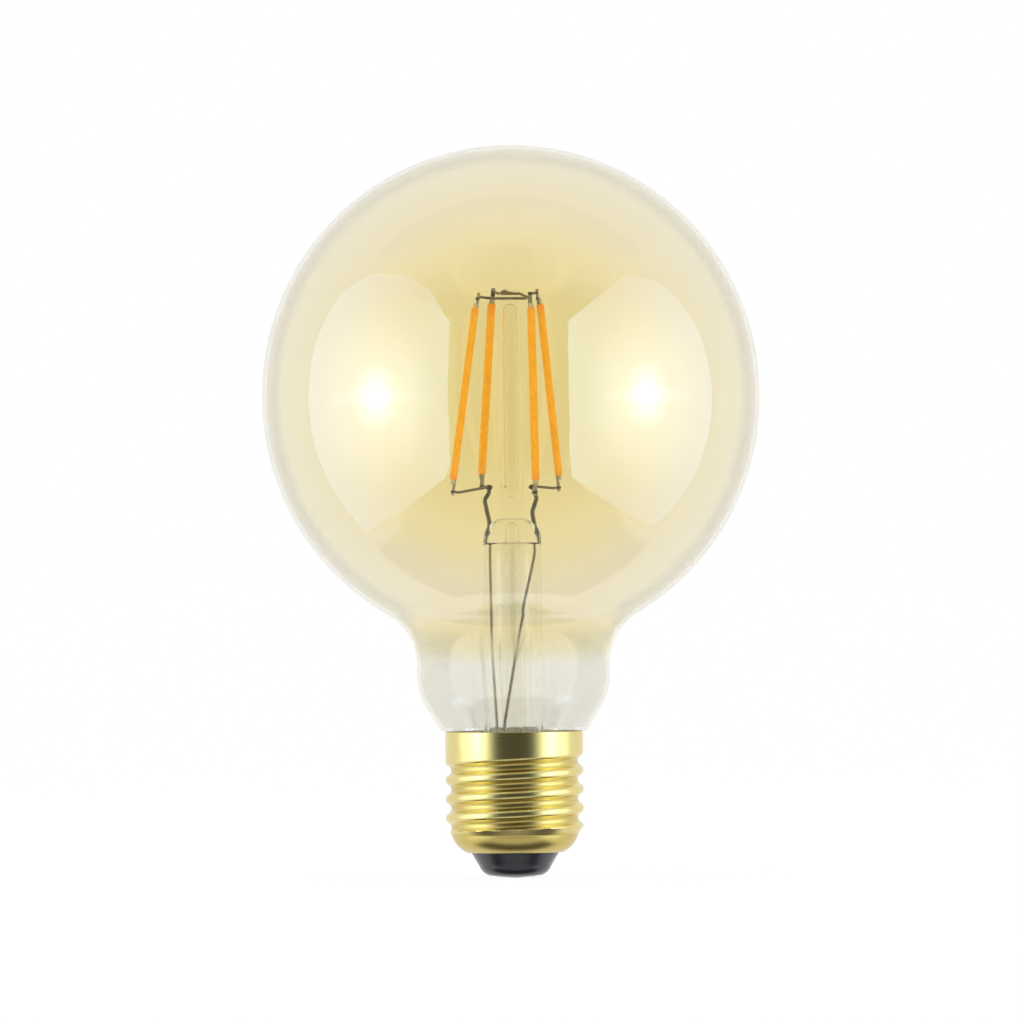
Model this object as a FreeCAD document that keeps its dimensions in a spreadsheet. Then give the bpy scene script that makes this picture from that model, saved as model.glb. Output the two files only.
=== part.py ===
# Globe lamp with four LED filaments and an Edison screw cap, 27 mm.
# Frame: origin at the foot of the centre contact, +Z up the axis to the crown of the globe,
# +X to the right and -Y towards the viewer. Millimetres and degrees.
import FreeCAD
import Part
import math
import os
import Sketcher

V = FreeCAD.Vector
DOC = FreeCAD.newDocument("GlobeLamp")
SHEET = DOC.addObject("Spreadsheet::Sheet", "Sizes")
SUBPARTS = []
CELLS = []


class Size:
    """A length that knows both its number and the sheet expression that gives it."""

    def __init__(self, value, text):
        self.value = value
        self.text = text

    def __add__(self, other):
        return Size(self.value + number(other), f"({self.text} + {text_of(other)})")

    def __radd__(self, other):
        return Size(number(other) + self.value, f"({text_of(other)} + {self.text})")

    def __sub__(self, other):
        return Size(self.value - number(other), f"({self.text} - {text_of(other)})")

    def __rsub__(self, other):
        return Size(number(other) - self.value, f"({text_of(other)} - {self.text})")

    def __mul__(self, other):
        return Size(self.value * number(other), f"({self.text} * {text_of(other)})")

    def __rmul__(self, other):
        return Size(number(other) * self.value, f"({text_of(other)} * {self.text})")

    def __truediv__(self, other):
        return Size(self.value / number(other), f"({self.text} / {text_of(other)})")

    def __neg__(self):
        return Size(-self.value, f"(-{self.text})")


def number(item):
    return item.value if isinstance(item, Size) else float(item)


def text_of(item):
    return item.text if isinstance(item, Size) else repr(float(item))


def size(alias, value):
    """Write one driving dimension to the sheet and hand back its Size."""
    cell = f"A{len(CELLS) + 1}"
    CELLS.append(alias)
    SHEET.set(cell, repr(float(value)))
    SHEET.setAlias(cell, alias)
    return Size(float(value), f"Sizes.{alias}")


def root_of(item):
    return Size(math.sqrt(number(item)), f"sqrt({text_of(item)})")


def sine(angle):
    return Size(math.sin(math.radians(number(angle))), f"sin({text_of(angle)})")


def cosine(angle):
    return Size(math.cos(math.radians(number(angle))), f"cos({text_of(angle)})")


# Globe and neck, stacked up from the rim of the cap
globe_radius = size("globe_radius", 47.5)
globe_band = size("globe_band", 1.0)
glass_wall = size("glass_wall", 0.8)
neck_fillet = size("neck_fillet", 11.1)
waist_length = size("waist_length", 1.8)
hip_radius = size("hip_radius", 13.0)
hip_angle = size("hip_angle", 32.0)
taper_run = size("taper_run", 4.7)
heel_fillet = size("heel_fillet", 0.5)
heel_overhang = size("heel_overhang", 0.41)
entry_length = size("entry_length", 1.0)
entry_taper = size("entry_taper", 2.6)
seal_gap = size("seal_gap", 0.45)
seal_drop = size("seal_drop", 7.8)

# Screw cap
rim_height = size("rim_height", 28.0)
crest_radius = size("crest_radius", 13.2)
crest_flat = size("crest_flat", 0.03)
crest_land = size("crest_land", 0.28)
thread_depth = size("thread_depth", 1.1)
thread_pitch = size("thread_pitch", 3.629)
thread_drop = size("thread_drop", 5.67)
runout_angle = size("runout_angle", 150.0)
runout_clear = size("runout_clear", 0.25)
shell_wall = size("shell_wall", 0.3)
foot_height = size("foot_height", 4.85)
foot_inset = size("foot_inset", 2.1)
foot_fillet = size("foot_fillet", 1.4)
shoulder_rise = size("shoulder_rise", 3.45)
fade_rise = size("fade_rise", 1.5)
lip_width = size("lip_width", 1.4)
rim_fillet = size("rim_fillet", 0.12)
cement_wall = size("cement_wall", 0.37)
cement_lift = size("cement_lift", 0.3)
cement_gap = size("cement_gap", 0.1)

# Insulator and centre contact
button_fit = size("button_fit", 0.05)
flange_lap = size("flange_lap", 0.5)
flange_height = size("flange_height", 1.5)
button_step = size("button_step", 0.2)
button_taper = size("button_taper", 1.5)
button_turn = size("button_turn", 1.8)
button_mid_height = size("button_mid_height", 2.3)
button_foot_height = size("button_foot_height", 0.45)
button_edge = size("button_edge", 3.0)
contact_margin = size("contact_margin", 1.1)
contact_drop = size("contact_drop", 0.2)
contact_seat = size("contact_seat", 0.35)
contact_bore = size("contact_bore", 1.0)
blob_radius = size("blob_radius", 1.95)
blob_flat = size("blob_flat", 1.1)

# Stem, exhaust tube and pillar
stem_radius = size("stem_radius", 5.5)
stem_wall = size("stem_wall", 0.7)
press_floor = size("press_floor", 64.0)
press_seat = size("press_seat", 1.4)
press_rise = size("press_rise", 3.2)
press_crown = size("press_crown", 2.7)
press_round = size("press_round", 4.2)
press_corner = size("press_corner", 0.6)
press_half_depth = size("press_half_depth", 3.7)
pinch_drop = size("pinch_drop", 2.0)
flare_angle = size("flare_angle", 60.0)
flare_land = size("flare_land", 1.0)
tube_radius = size("tube_radius", 2.2)
bore_radius = size("bore_radius", 1.2)
tip_gap = size("tip_gap", 3.6)
tip_length = size("tip_length", 3.6)
tip_radius = size("tip_radius", 0.6)
tip_wall = size("tip_wall", 1.5)
blow_rise = size("blow_rise", 2.2)
blow_radius = size("blow_radius", 0.8)
pillar_foot = size("pillar_foot", 4.0)
pillar_head = size("pillar_head", 2.7)
pillar_edge = size("pillar_edge", 1.3)

# Wires
lead_radius = size("lead_radius", 0.28)
lead_bend = size("lead_bend", 5.0)
lead_side = size("lead_side", 4.35)
lead_tail = size("lead_tail", 2.1)
post_radius = size("post_radius", 0.42)
post_bend = size("post_bend", 1.2)
post_root = size("post_root", 1.2)
post_length = size("post_length", 5.8)
arm_radius = size("arm_radius", 0.26)
arm_bend = size("arm_bend", 1.0)
weld_gap = size("weld_gap", 0.08)
jumper_lift = size("jumper_lift", 3.3)
jumper_bed = size("jumper_bed", 1.0)
jumper_step = size("jumper_step", 0.85)
neutral_radius = size("neutral_radius", 0.15)
neutral_fit = size("neutral_fit", 0.01)
tab_run = size("tab_run", 1.0)

# Filaments
stick_length = size("stick_length", 33.0)
stick_width = size("stick_width", 1.5)
stick_depth = size("stick_depth", 1.25)
stick_round = size("stick_round", 0.5)
carrier_width = size("carrier_width", 0.95)
carrier_depth = size("carrier_depth", 0.4)
carrier_overhang = size("carrier_overhang", 0.9)
slot_fit = size("slot_fit", 0.02)
chip_length = size("chip_length", 0.7)
chip_width = size("chip_width", 0.4)
chip_rise = size("chip_rise", 0.15)
chip_pitch = size("chip_pitch", 1.2)
tab_width = size("tab_width", 0.8)
tab_depth = size("tab_depth", 0.25)
tab_length = size("tab_length", 3.0)
tab_weld = size("tab_weld", 2.3)

# Driver
board_gap = size("board_gap", 1.8)
board_depth = size("board_depth", 1.0)
hole_fit = size("hole_fit", 0.06)
wire_tail = size("wire_tail", 0.6)
can_radius = size("can_radius", 3.0)
can_height = size("can_height", 5.2)
can_round = size("can_round", 0.4)
can_gap = size("can_gap", 0.55)
fuse_radius = size("fuse_radius", 1.3)
fuse_length = size("fuse_length", 6.4)
fuse_chamfer = size("fuse_chamfer", 0.32)
fuse_drop = size("fuse_drop", 3.0)
fuse_back = size("fuse_back", 5.0)
fuse_lead_radius = size("fuse_lead_radius", 0.3)
fuse_lead_reach = size("fuse_lead_reach", 1.6)
fuse_lead_bend = size("fuse_lead_bend", 0.6)
live_drop = size("live_drop", 1.7)
leg_depth = size("leg_depth", 0.25)
leg_width = size("leg_width", 0.6)
leg_reach = size("leg_reach", 0.9)
bridge_length = size("bridge_length", 4.7)
bridge_width = size("bridge_width", 3.9)
bridge_rise = size("bridge_rise", 2.4)
bridge_pitch = size("bridge_pitch", 2.5)
chip_body_length = size("chip_body_length", 4.9)
chip_body_width = size("chip_body_width", 3.9)
chip_body_rise = size("chip_body_rise", 1.45)
chip_leg_pitch = size("chip_leg_pitch", 1.27)
hole_margin = size("hole_margin", 1.8)

# Screw cap: radii in from the crest, heights down from the rim and up from the foot
root_radius = crest_radius - thread_depth
root_bore = root_radius - shell_wall
barrel_radius = crest_radius - crest_flat
barrel_bore = barrel_radius - shell_wall
foot_radius = root_radius - foot_inset
mouth_radius = foot_radius - lip_width
foot_floor = foot_height + shell_wall
fade_foot = foot_height + shoulder_rise
fade_top = fade_foot + fade_rise
thread_phase = rim_height - thread_drop
thread_round = (thread_pitch * thread_pitch / 4 + thread_depth * thread_depth) / (thread_depth * 4)

# Glass where it enters the cap
entry_radius = barrel_bore - cement_wall
seal_radius = root_bore - seal_gap
neck_bore = seal_radius - glass_wall
seal_height = rim_height - seal_drop
taper_top = rim_height - entry_length
taper_foot = taper_top - entry_taper
cement_foot = taper_foot + cement_lift

# Button of the insulator, in from the mouth of the cap
button_top_radius = mouth_radius - button_step
button_mid_radius = button_top_radius - button_taper
button_foot_radius = button_mid_radius - button_turn
contact_radius = button_foot_radius - contact_margin
flange_radius = mouth_radius + flange_lap
flange_top = foot_floor + flange_height

# Board over the can that hangs from it, and the tube's tip over the board
board_radius = root_bore - board_gap
board_height = flange_top + can_gap + can_height
board_top = board_height + board_depth
fuse_height = board_height - fuse_drop
tip_height = board_top + tip_gap

# Mount, stacked up from the floor of the press
stem_bore = stem_radius - stem_wall
press_shoulder = press_floor + press_seat
press_top = press_shoulder + press_rise
blow_height = press_floor + blow_rise
post_joint = press_floor + post_root
post_top = press_top + post_length
lower_jumper = post_top + stick_length + jumper_lift
pillar_bore_top = lower_jumper - jumper_bed
pillar_top = pillar_bore_top + pillar_head
stem_climb = press_floor - seal_height

# Chips that fit on one strip at their pitch, and the places of the wires' holes in the board
CHIP_COUNT = 26
LEFT_HOLE = (-5.5, -2.0)
RIGHT_HOLE = (0.8, -5.8)
NEUTRAL_HOLE = (0, board_radius - hole_margin)

# Slack of the leads inside the stem: x, y and share of the climb from the seal to the press
LEFT_SLACK = ((-3.2, -1.0, 0.20), (-4.05, -0.4, 0.54))
RIGHT_SLACK = ((-1.8, -3.1, 0.21), (0.0, -3.2, 0.45), (2.0, -3.1, 0.73))

# Bends of the posts: how far out of the post's own line, and share of its length above the press
LEFT_BENDS = ((0.0, -0.10), (0.9, 0.62), (0.0, 0.86))
RIGHT_BENDS = ((0.0, -0.28), (-0.5, 0.21), (0.4, 0.67), (0.0, 0.86))

# Where the moulded parts and the can stand on the board
BRIDGE_PLACE = (4.6, 2.6)
CHIP_PLACE = (-4.2, 4.4)
CAN_PLACE = (-4.6, 3.4)

# Where each filament stands: the ends of its coated length, seen from above, and its foot height.
FILAMENTS = {
    "front_left": {
        "foot_x": size("front_left_foot_x", -11.14),
        "foot_y": size("front_left_foot_y", -5.0),
        "top_x": size("front_left_top_x", -6.65),
        "top_y": size("front_left_top_y", -2.9),
        "foot_z": post_top + size("front_left_rise", 1.8),
    },
    "back_left": {
        "foot_x": size("back_left_foot_x", -5.75),
        "foot_y": size("back_left_foot_y", 10.2),
        "top_x": size("back_left_top_x", -3.54),
        "top_y": size("back_left_top_y", 6.0),
        "foot_z": post_top + size("back_left_rise", 2.8),
    },
    "front_right": {
        "foot_x": size("front_right_foot_x", 4.55),
        "foot_y": size("front_right_foot_y", -10.4),
        "top_x": size("front_right_top_x", 4.0),
        "top_y": size("front_right_top_y", -6.0),
        "foot_z": post_top + size("front_right_rise", 1.6),
    },
    "back_right": {
        "foot_x": size("back_right_foot_x", 9.04),
        "foot_y": size("back_right_foot_y", 5.0),
        "top_x": size("back_right_top_x", 5.75),
        "top_y": size("back_right_top_y", 3.0),
        "foot_z": post_top + size("back_right_rise", 2.4),
    },
}


def subpart(item, label):
    item.Label = label
    SUBPARTS.append(item)
    return item


def new_body(label):
    return DOC.addObject("PartDesign::Body", label)


def plane_of(body, role):
    return next(item for item in body.Origin.OriginFeatures if item.Role == role)


def new_sketch(body, name, role):
    sketch = body.newObject("Sketcher::SketchObject", name)
    sketch.AttachmentSupport = [(plane_of(body, role), "")]
    sketch.MapMode = "FlatFace"
    return sketch


def bind(item, name, length):
    if isinstance(length, Size):
        item.setExpression(name, length.text)
    else:
        setattr(item, name, length)


def pin_point(sketch, geometry, end, x, y):
    """Hold one point of a sketch at x, y, each a Size or a plain number."""
    for kind, length, axis in (("DistanceX", x, -2), ("DistanceY", y, -1)):
        if number(length) == 0.0:
            sketch.addConstraint(Sketcher.Constraint("PointOnObject", geometry, end, axis))
            continue
        value = number(length)
        index = sketch.addConstraint(Sketcher.Constraint(kind, -1, 1, geometry, end, value))
        if isinstance(length, Size):
            sketch.setExpression(f"Constraints[{index}]", length.text)


def arc_between(start, end, radius, side):
    """Arc of the given radius whose centre is left (+1) or right (-1) of the way it runs."""
    chord = end - start
    middle = (start + end) * 0.5
    lift = math.sqrt(max(radius * radius - chord.Length * chord.Length / 4, 0.0))
    left = V(-chord.y, chord.x, 0).normalize()
    centre = middle + left * (lift * side)
    first = math.atan2(start.y - centre.y, start.x - centre.x)
    last = math.atan2(end.y - centre.y, end.x - centre.x)
    circle = Part.Circle(centre, V(0, 0, 1), radius)
    if side > 0:
        return Part.ArcOfCircle(circle, first, last)
    return Part.ArcOfCircle(circle, last, first)


def draw_outline(sketch, start, steps):
    """Closed outline of lines (x, y) and arcs (x, y, radius, side), each end held by the sheet."""
    corners = [start] + [(step[0], step[1]) for step in steps]
    places = [V(number(x), number(y), 0) for x, y in corners]
    pieces = []
    for index, step in enumerate(steps):
        begin = places[index]
        finish = places[index + 1]
        if len(step) == 2:
            pieces.append((sketch.addGeometry(Part.LineSegment(begin, finish)), 1, 2))
            continue
        arc = arc_between(begin, finish, number(step[2]), step[3])
        ends = (1, 2) if step[3] > 0 else (2, 1)
        pieces.append((sketch.addGeometry(arc), ends[0], ends[1]))
    closing = sketch.addGeometry(Part.LineSegment(places[-1], places[0]))
    pieces.append((closing, 1, 2))
    for index, (geometry, first, last) in enumerate(pieces):
        following = pieces[(index + 1) % len(pieces)]
        sketch.addConstraint(Sketcher.Constraint("Coincident", geometry, last, following[0], following[1]))
        pin_point(sketch, geometry, first, corners[index][0], corners[index][1])
    for index, step in enumerate(steps):
        if len(step) == 4:
            radius = Sketcher.Constraint("Radius", pieces[index][0], number(step[2]))
            held = sketch.addConstraint(radius)
            sketch.setExpression(f"Constraints[{held}]", text_of(step[2]))


def draw_circle(sketch, x, y, radius):
    circle = Part.Circle(V(number(x), number(y), 0), V(0, 0, 1), number(radius))
    index = sketch.addGeometry(circle)
    pin_point(sketch, index, 3, x, y)
    held = sketch.addConstraint(Sketcher.Constraint("Radius", index, number(radius)))
    sketch.setExpression(f"Constraints[{held}]", text_of(radius))


def draw_box(sketch, x_low, x_high, y_low, y_high):
    draw_outline(sketch, (x_low, y_low), [(x_high, y_low), (x_high, y_high), (x_low, y_high)])


def revolve(body, name, start, steps):
    """Full turn about the lamp's axis of an outline given as radius and height."""
    sketch = new_sketch(body, name + "Outline", "XZ_Plane")
    draw_outline(sketch, start, steps)
    turn = body.newObject("PartDesign::Revolution", name)
    turn.Profile = sketch
    turn.ReferenceAxis = (sketch, ["V_Axis"])
    turn.Angle = 360
    body.Tip = turn
    return turn


def pad(body, name, sketch, length):
    feature = body.newObject("PartDesign::Pad", name)
    feature.Profile = sketch
    bind(feature, "Length", length)
    body.Tip = feature
    return feature


def cut_by(label, base, tools):
    """Take the room of each tool out of the base and leave the tools as they are."""
    result = base
    for index, tool in enumerate(tools):
        step = DOC.addObject("Part::Cut", f"{label}_cut_{index + 1}")
        step.Base = result
        step.Tool = tool
        result = step
    return result


def bent_path(points, radius):
    """Straight runs joined by tangent arcs, as bent wire."""
    edges = []
    begin = points[0]
    for index in range(1, len(points) - 1):
        corner = points[index]
        before = (points[index - 1] - corner).normalize()
        after = (points[index + 1] - corner).normalize()
        turn = math.pi - before.getAngle(after)
        reach = radius * math.tan(turn / 2)
        run = min((points[index - 1] - corner).Length, (points[index + 1] - corner).Length)
        reach = min(reach, run * 0.45)
        arc_radius = reach / math.tan(turn / 2)
        first = corner + before * reach
        last = corner + after * reach
        inward = (before + after).normalize()
        centre = corner + inward * (arc_radius / math.cos(turn / 2))
        middle = centre - inward * arc_radius
        edges.append(Part.LineSegment(begin, first).toShape())
        edges.append(Part.Arc(first, middle, last).toShape())
        begin = last
    edges.append(Part.LineSegment(begin, points[-1]).toShape())
    return Part.Wire(edges)


def wire_solid(points, radius, bend):
    """Round wire along a bent path."""
    places = [V(*(number(item) for item in point)) for point in points]
    path = bent_path(places, number(bend))
    way = places[1] - places[0]
    section = Part.Wire([Part.Circle(places[0], way, number(radius)).toShape()])
    return path.makePipeShell([section], True, True)


def wire(label, points, radius, bend):
    item = DOC.addObject("Part::Feature", label)
    item.Shape = wire_solid(points, radius, bend)
    item.Placement = FreeCAD.Placement()
    return subpart(item, label)


def filament_frame(place):
    """Foot, direction from foot to top and outward side of one filament."""
    foot = V(place["foot_x"].value, place["foot_y"].value, place["foot_z"].value)
    lean_x = place["top_x"].value - foot.x
    lean_y = place["top_y"].value - foot.y
    rise = math.sqrt(stick_length.value ** 2 - lean_x ** 2 - lean_y ** 2)
    along = V(lean_x, lean_y, rise).normalize()
    outward = V(foot.x, foot.y, 0)
    outward = (outward - along * outward.dot(along)).normalize()
    return foot, along, outward


def filament_placement(place):
    foot, along, outward = filament_frame(place)
    across = outward.cross(along)
    turn = FreeCAD.Rotation(across, outward, along, "ZXY")
    return FreeCAD.Placement(foot, turn)


def moved(where, along):
    """The same placement, moved along the filament."""
    return where.multiply(FreeCAD.Placement(V(0, 0, along.value), FreeCAD.Rotation()))


def weld_point(place, upper):
    """Where a wire meets the inner face of a filament's tab, and the corner before it."""
    foot, along, outward = filament_frame(place)
    reach = stick_length.value + tab_weld.value if upper else -tab_weld.value
    inward = carrier_depth.value / 2 + tab_depth.value + weld_gap.value
    face = foot + along * reach - outward * inward
    return face, face - outward * tab_run.value


def globe():
    """Heel on the cap's rim, taper, hip, waist, hollow neck and ball, with the same form a wall inside."""
    side = cosine(hip_angle)
    fall = sine(hip_angle)
    heel_centre = barrel_radius + heel_overhang
    heel_radius = heel_centre + heel_fillet * side
    heel_top = rim_height + heel_fillet - heel_fillet * fall
    hip_foot_radius = heel_radius + taper_run * fall
    hip_foot_height = heel_top + taper_run * side
    hip = hip_foot_height + hip_radius * fall
    swell = hip_foot_radius - hip_radius * side
    neck_radius = swell + hip_radius
    hip_inner = hip_radius - glass_wall
    bore_foot_radius = swell + hip_inner * side
    bore_foot_height = hip - hip_inner * fall
    floor = rim_height + glass_wall
    floor_radius = bore_foot_radius - (bore_foot_height - floor) * (fall / side)
    waist = hip + waist_length
    reach = neck_radius + neck_fillet
    span = globe_radius + neck_fillet
    drop = root_of(span * span - reach * reach)
    lower = waist + drop
    ball = lower + globe_band
    crown = ball + globe_radius
    inner = globe_radius - glass_wall
    body = new_body("glass_globe")
    revolve(body, "GlobeWall", (0, crown), [
        (globe_radius, ball, globe_radius, -1),
        (globe_radius, lower),
        (reach * globe_radius / span, lower - drop * globe_radius / span, globe_radius, -1),
        (neck_radius, waist, neck_fillet, 1),
        (neck_radius, hip),
        (hip_foot_radius, hip_foot_height, hip_radius, -1),
        (heel_radius, heel_top),
        (heel_centre, rim_height, heel_fillet, -1),
        (entry_radius, rim_height),
        (entry_radius, taper_top),
        (seal_radius, taper_foot),
        (seal_radius, seal_height),
        (neck_bore, seal_height),
        (neck_bore, taper_foot),
        (entry_radius - glass_wall, taper_top),
        (entry_radius - glass_wall, floor),
        (floor_radius, floor),
        (bore_foot_radius, bore_foot_height),
        (neck_radius - glass_wall, hip, hip_inner, 1),
        (neck_radius - glass_wall, waist),
        (reach * inner / span, lower - drop * inner / span, neck_fillet + glass_wall, -1),
        (inner, lower, inner, 1),
        (inner, ball),
        (0, crown - glass_wall, inner, 1),
    ])
    subpart(body, "glass_globe")


def stem():
    """Flared tube, closed by the pinched press that holds the wires."""
    side = cosine(flare_angle)
    fall = sine(flare_angle)
    spread = neck_bore - stem_radius
    flare = spread / (1 - side)
    flare_foot = seal_height + flare_land
    flare_top = flare_foot + flare * fall
    inner_flare = flare + stem_wall
    body = new_body("stem_body")
    revolve(body, "StemWall", (0, press_top), [
        (press_crown, press_top),
        (stem_radius, press_shoulder, press_round, -1),
        (stem_radius, flare_top),
        (neck_bore, flare_foot, flare, 1),
        (neck_bore, seal_height),
        (neck_bore - stem_wall, seal_height),
        (stem_radius + flare - inner_flare * side, flare_top - inner_flare * fall),
        (stem_bore, flare_top, inner_flare, -1),
        (stem_bore, press_floor - press_corner),
        (stem_bore - press_corner, press_floor, press_corner, 1),
        (bore_radius, press_floor),
        (bore_radius, blow_height + blow_radius),
        (0, blow_height + blow_radius),
    ])
    DOC.recompute()
    pinch = new_sketch(body, "PinchOutline", "YZ_Plane")
    outer = stem_radius + 1
    top = press_top + 1
    pinched = press_floor + pinch_drop
    for side_sign in (-1, 1):
        edge = press_half_depth * side_sign
        far = outer * side_sign
        draw_outline(pinch, (edge, pinched), [(edge, top), (far, top), (far, press_floor - pinch_drop / 2)])
    pinch_cut = body.newObject("PartDesign::Pocket", "Pinch")
    pinch_cut.Profile = pinch
    pinch_cut.Type = "ThroughAll"
    pinch_cut.SideType = "Symmetric"
    body.Tip = pinch_cut
    DOC.recompute()
    blow = new_sketch(body, "BlowOutline", "XZ_Plane")
    draw_circle(blow, 0, blow_height, blow_radius)
    blow_cut = body.newObject("PartDesign::Pocket", "BlowHole")
    blow_cut.Profile = blow
    bind(blow_cut, "Length", stem_radius)
    blow_cut.Reversed = False
    body.Tip = blow_cut
    return body


def exhaust_tube():
    body = new_body("exhaust_tube")
    nose = tip_height + tip_length
    revolve(body, "ExhaustWall", (bore_radius, press_floor), [
        (tube_radius, press_floor),
        (tube_radius, nose),
        (tip_radius, tip_height, tip_length * 3, -1),
        (0, tip_height),
        (0, tip_height + tip_wall),
        (bore_radius, nose, tip_length * 2, 1),
    ])
    subpart(body, "exhaust_tube")


def pillar():
    body = new_body("pillar_body")
    revolve(body, "PillarWall", (0, press_top), [
        (tube_radius, press_top),
        (tube_radius, pillar_top - pillar_edge),
        (tube_radius - pillar_edge, pillar_top, pillar_edge, 1),
        (0, pillar_top),
        (0, pillar_bore_top),
        (bore_radius, pillar_bore_top),
        (bore_radius, press_top + pillar_foot),
        (0, press_top + pillar_foot),
    ])
    return body


def groove_section(inset, start_angle):
    """Outline of one thread groove with round root and crests, at the start of its path."""
    root = root_radius.value
    crest = crest_radius.value
    bend = thread_round.value
    half = thread_pitch.value / 2
    root_centre = V(root + bend, 0, 0)
    crest_low = V(crest - bend, 0, -half)
    crest_high = V(crest - bend, 0, half)
    nose = bend + inset
    flank = bend - inset
    land = crest_land.value / 2
    shoulder = crest - bend + math.sqrt(flank * flank - land * land)
    tilt = math.atan2(half, thread_depth.value - 2 * bend)
    joint = root_centre + V(math.cos(tilt), 0, math.sin(tilt)) * nose
    joint_low = V(joint.x, 0, -joint.z)
    bottom = root_centre - V(nose, 0, 0)
    middle_high = (joint - crest_high) + (V(shoulder, 0, half - land) - crest_high)
    on_high = crest_high + middle_high.normalize() * flank
    on_low = V(on_high.x, 0, -on_high.z)
    far = crest + thread_depth.value
    high = V(shoulder, 0, half - land)
    low = V(shoulder, 0, land - half)
    edges = [
        Part.Arc(low, on_low, joint_low).toShape(),
        Part.Arc(joint_low, bottom, joint).toShape(),
        Part.Arc(joint, on_high, high).toShape(),
        Part.LineSegment(high, V(far, 0, high.z)).toShape(),
        Part.LineSegment(V(far, 0, high.z), V(far, 0, low.z)).toShape(),
        Part.LineSegment(V(far, 0, low.z), low).toShape(),
    ]
    section = Part.Wire(edges)
    section.rotate(V(0, 0, 0), V(0, 0, 1), start_angle)
    return section


def groove_tool(inset):
    """Helical cutter: full depth from below the shoulder, lifting out of the barrel at the top."""
    steps_per_turn = 24
    turn_step = 360 / steps_per_turn
    fall = thread_phase.value - fade_foot.value + thread_pitch.value * 0.25
    first = -math.ceil(fall / thread_pitch.value * steps_per_turn)
    last = math.ceil(runout_angle.value / turn_step)
    lift_out = thread_depth.value + runout_clear.value
    reference = root_radius.value
    points = []
    for step in range(first, last + 1):
        angle = step * turn_step
        share = min(max(angle / runout_angle.value, 0.0), 1.0)
        radius = reference + lift_out * share * share * (3 - 2 * share)
        height = thread_phase.value + thread_pitch.value * angle / 360
        spot = math.radians(angle)
        points.append(V(radius * math.cos(spot), radius * math.sin(spot), height))
    curve = Part.BSplineCurve()
    curve.interpolate(points)
    spine = Part.Wire([curve.toShape()])
    section = groove_section(inset, first * turn_step)
    section.translate(V(0, 0, points[0].z))
    tool = Part.BRepOffsetAPI.MakePipeShell(spine)
    tool.setBiNormalMode(V(0, 0, 1))
    tool.add(section)
    tool.build()
    tool.makeSolid()
    return tool.shape()


def screw_solid(inset):
    """Turned form of the cap, shrunk by the inset, with its thread groove."""
    slant = math.hypot(foot_inset.value, shoulder_rise.value)
    foot_shift = inset * (slant - foot_inset.value) / shoulder_rise.value
    points = [
        V(0, 0, rim_height.value),
        V(barrel_radius.value - inset, 0, rim_height.value),
        V(barrel_radius.value - inset, 0, fade_top.value + inset),
        V(root_radius.value - inset, 0, fade_foot.value),
        V(foot_radius.value - foot_shift, 0, foot_height.value + inset),
        V(0, 0, foot_height.value + inset),
    ]
    corner = foot_fillet.value - inset
    turned = Part.Wire([Part.LineSegment(points[0], points[1]).toShape(),
                        Part.LineSegment(points[1], points[2]).toShape(),
                        Part.LineSegment(points[2], points[3]).toShape()]
                       + bent_path(points[3:], corner).Edges
                       + [Part.LineSegment(points[5], points[0]).toShape()])
    blank = Part.Face(turned).revolve(V(0, 0, 0), V(0, 0, 1), 360)
    threaded = blank.cut(groove_tool(inset))
    if blank.Volume - threaded.Volume < thread_pitch.value * crest_radius.value:
        raise RuntimeError("the thread groove cut nothing")
    return threaded


def cap_shell():
    """Rolled brass sheet: one screw form less the same form a wall smaller."""
    outer = screw_solid(0.0)
    inner = screw_solid(shell_wall.value)
    mouth = Part.makeCylinder(mouth_radius.value, rim_height.value)
    shape = outer.cut(inner).cut(mouth)
    rim = [edge for edge in shape.Edges
           if abs(edge.BoundBox.ZMin - rim_height.value) < 1e-6
           and abs(edge.BoundBox.XMax - barrel_radius.value) < 1e-6]
    shape = shape.makeFillet(rim_fillet.value, rim)
    item = DOC.addObject("Part::Feature", "cap_shell")
    item.Shape = shape
    item.Placement = FreeCAD.Placement()
    subpart(item, "cap_shell")


def capping_cement(neutral):
    """Ring that fills the wedge between the glass and the barrel."""
    slope = (entry_radius - seal_radius) / entry_taper
    foot_in = entry_radius - (taper_top - cement_foot) * slope
    body = new_body("cement_body")
    revolve(body, "CementRing", (entry_radius, rim_height - cement_gap), [
        (barrel_bore, rim_height - cement_gap),
        (barrel_bore, cement_foot),
        (foot_in, cement_foot),
        (entry_radius, taper_top),
    ])
    subpart(cut_by("capping_cement", body, [neutral]), "capping_cement")


def insulator():
    body = new_body("cap_insulator")
    throat = mouth_radius - button_fit
    seat = button_foot_height
    revolve(body, "InsulatorForm", (contact_bore, flange_top), [
        (contact_bore, seat),
        (button_foot_radius, seat),
        (button_mid_radius, button_mid_height, button_edge, 1),
        (button_top_radius, foot_height - button_fit),
        (throat, foot_height - button_fit),
        (throat, foot_floor),
        (flange_radius, foot_floor),
        (flange_radius, flange_top),
    ])
    subpart(body, "cap_insulator")


def centre_contact():
    """Pressed disc under the insulator, with the eyelet that the live wire passes."""
    body = new_body("centre_contact")
    top = button_foot_height
    revolve(body, "ContactDisc", (fuse_lead_radius + hole_fit, contact_drop), [
        (contact_radius - contact_seat, contact_drop),
        (contact_radius, top, contact_seat, 1),
        (contact_bore, top),
        (contact_bore, top + contact_seat),
        (fuse_lead_radius + hole_fit, top + contact_seat),
    ])
    subpart(body, "centre_contact")
    blob = new_body("contact_solder")
    revolve(blob, "SolderDome", (0, 0), [
        (blob_flat, 0),
        (blob_radius, contact_drop, blob_radius * 1.5, 1),
        (0, contact_drop),
    ])
    subpart(blob, "contact_solder")


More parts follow.
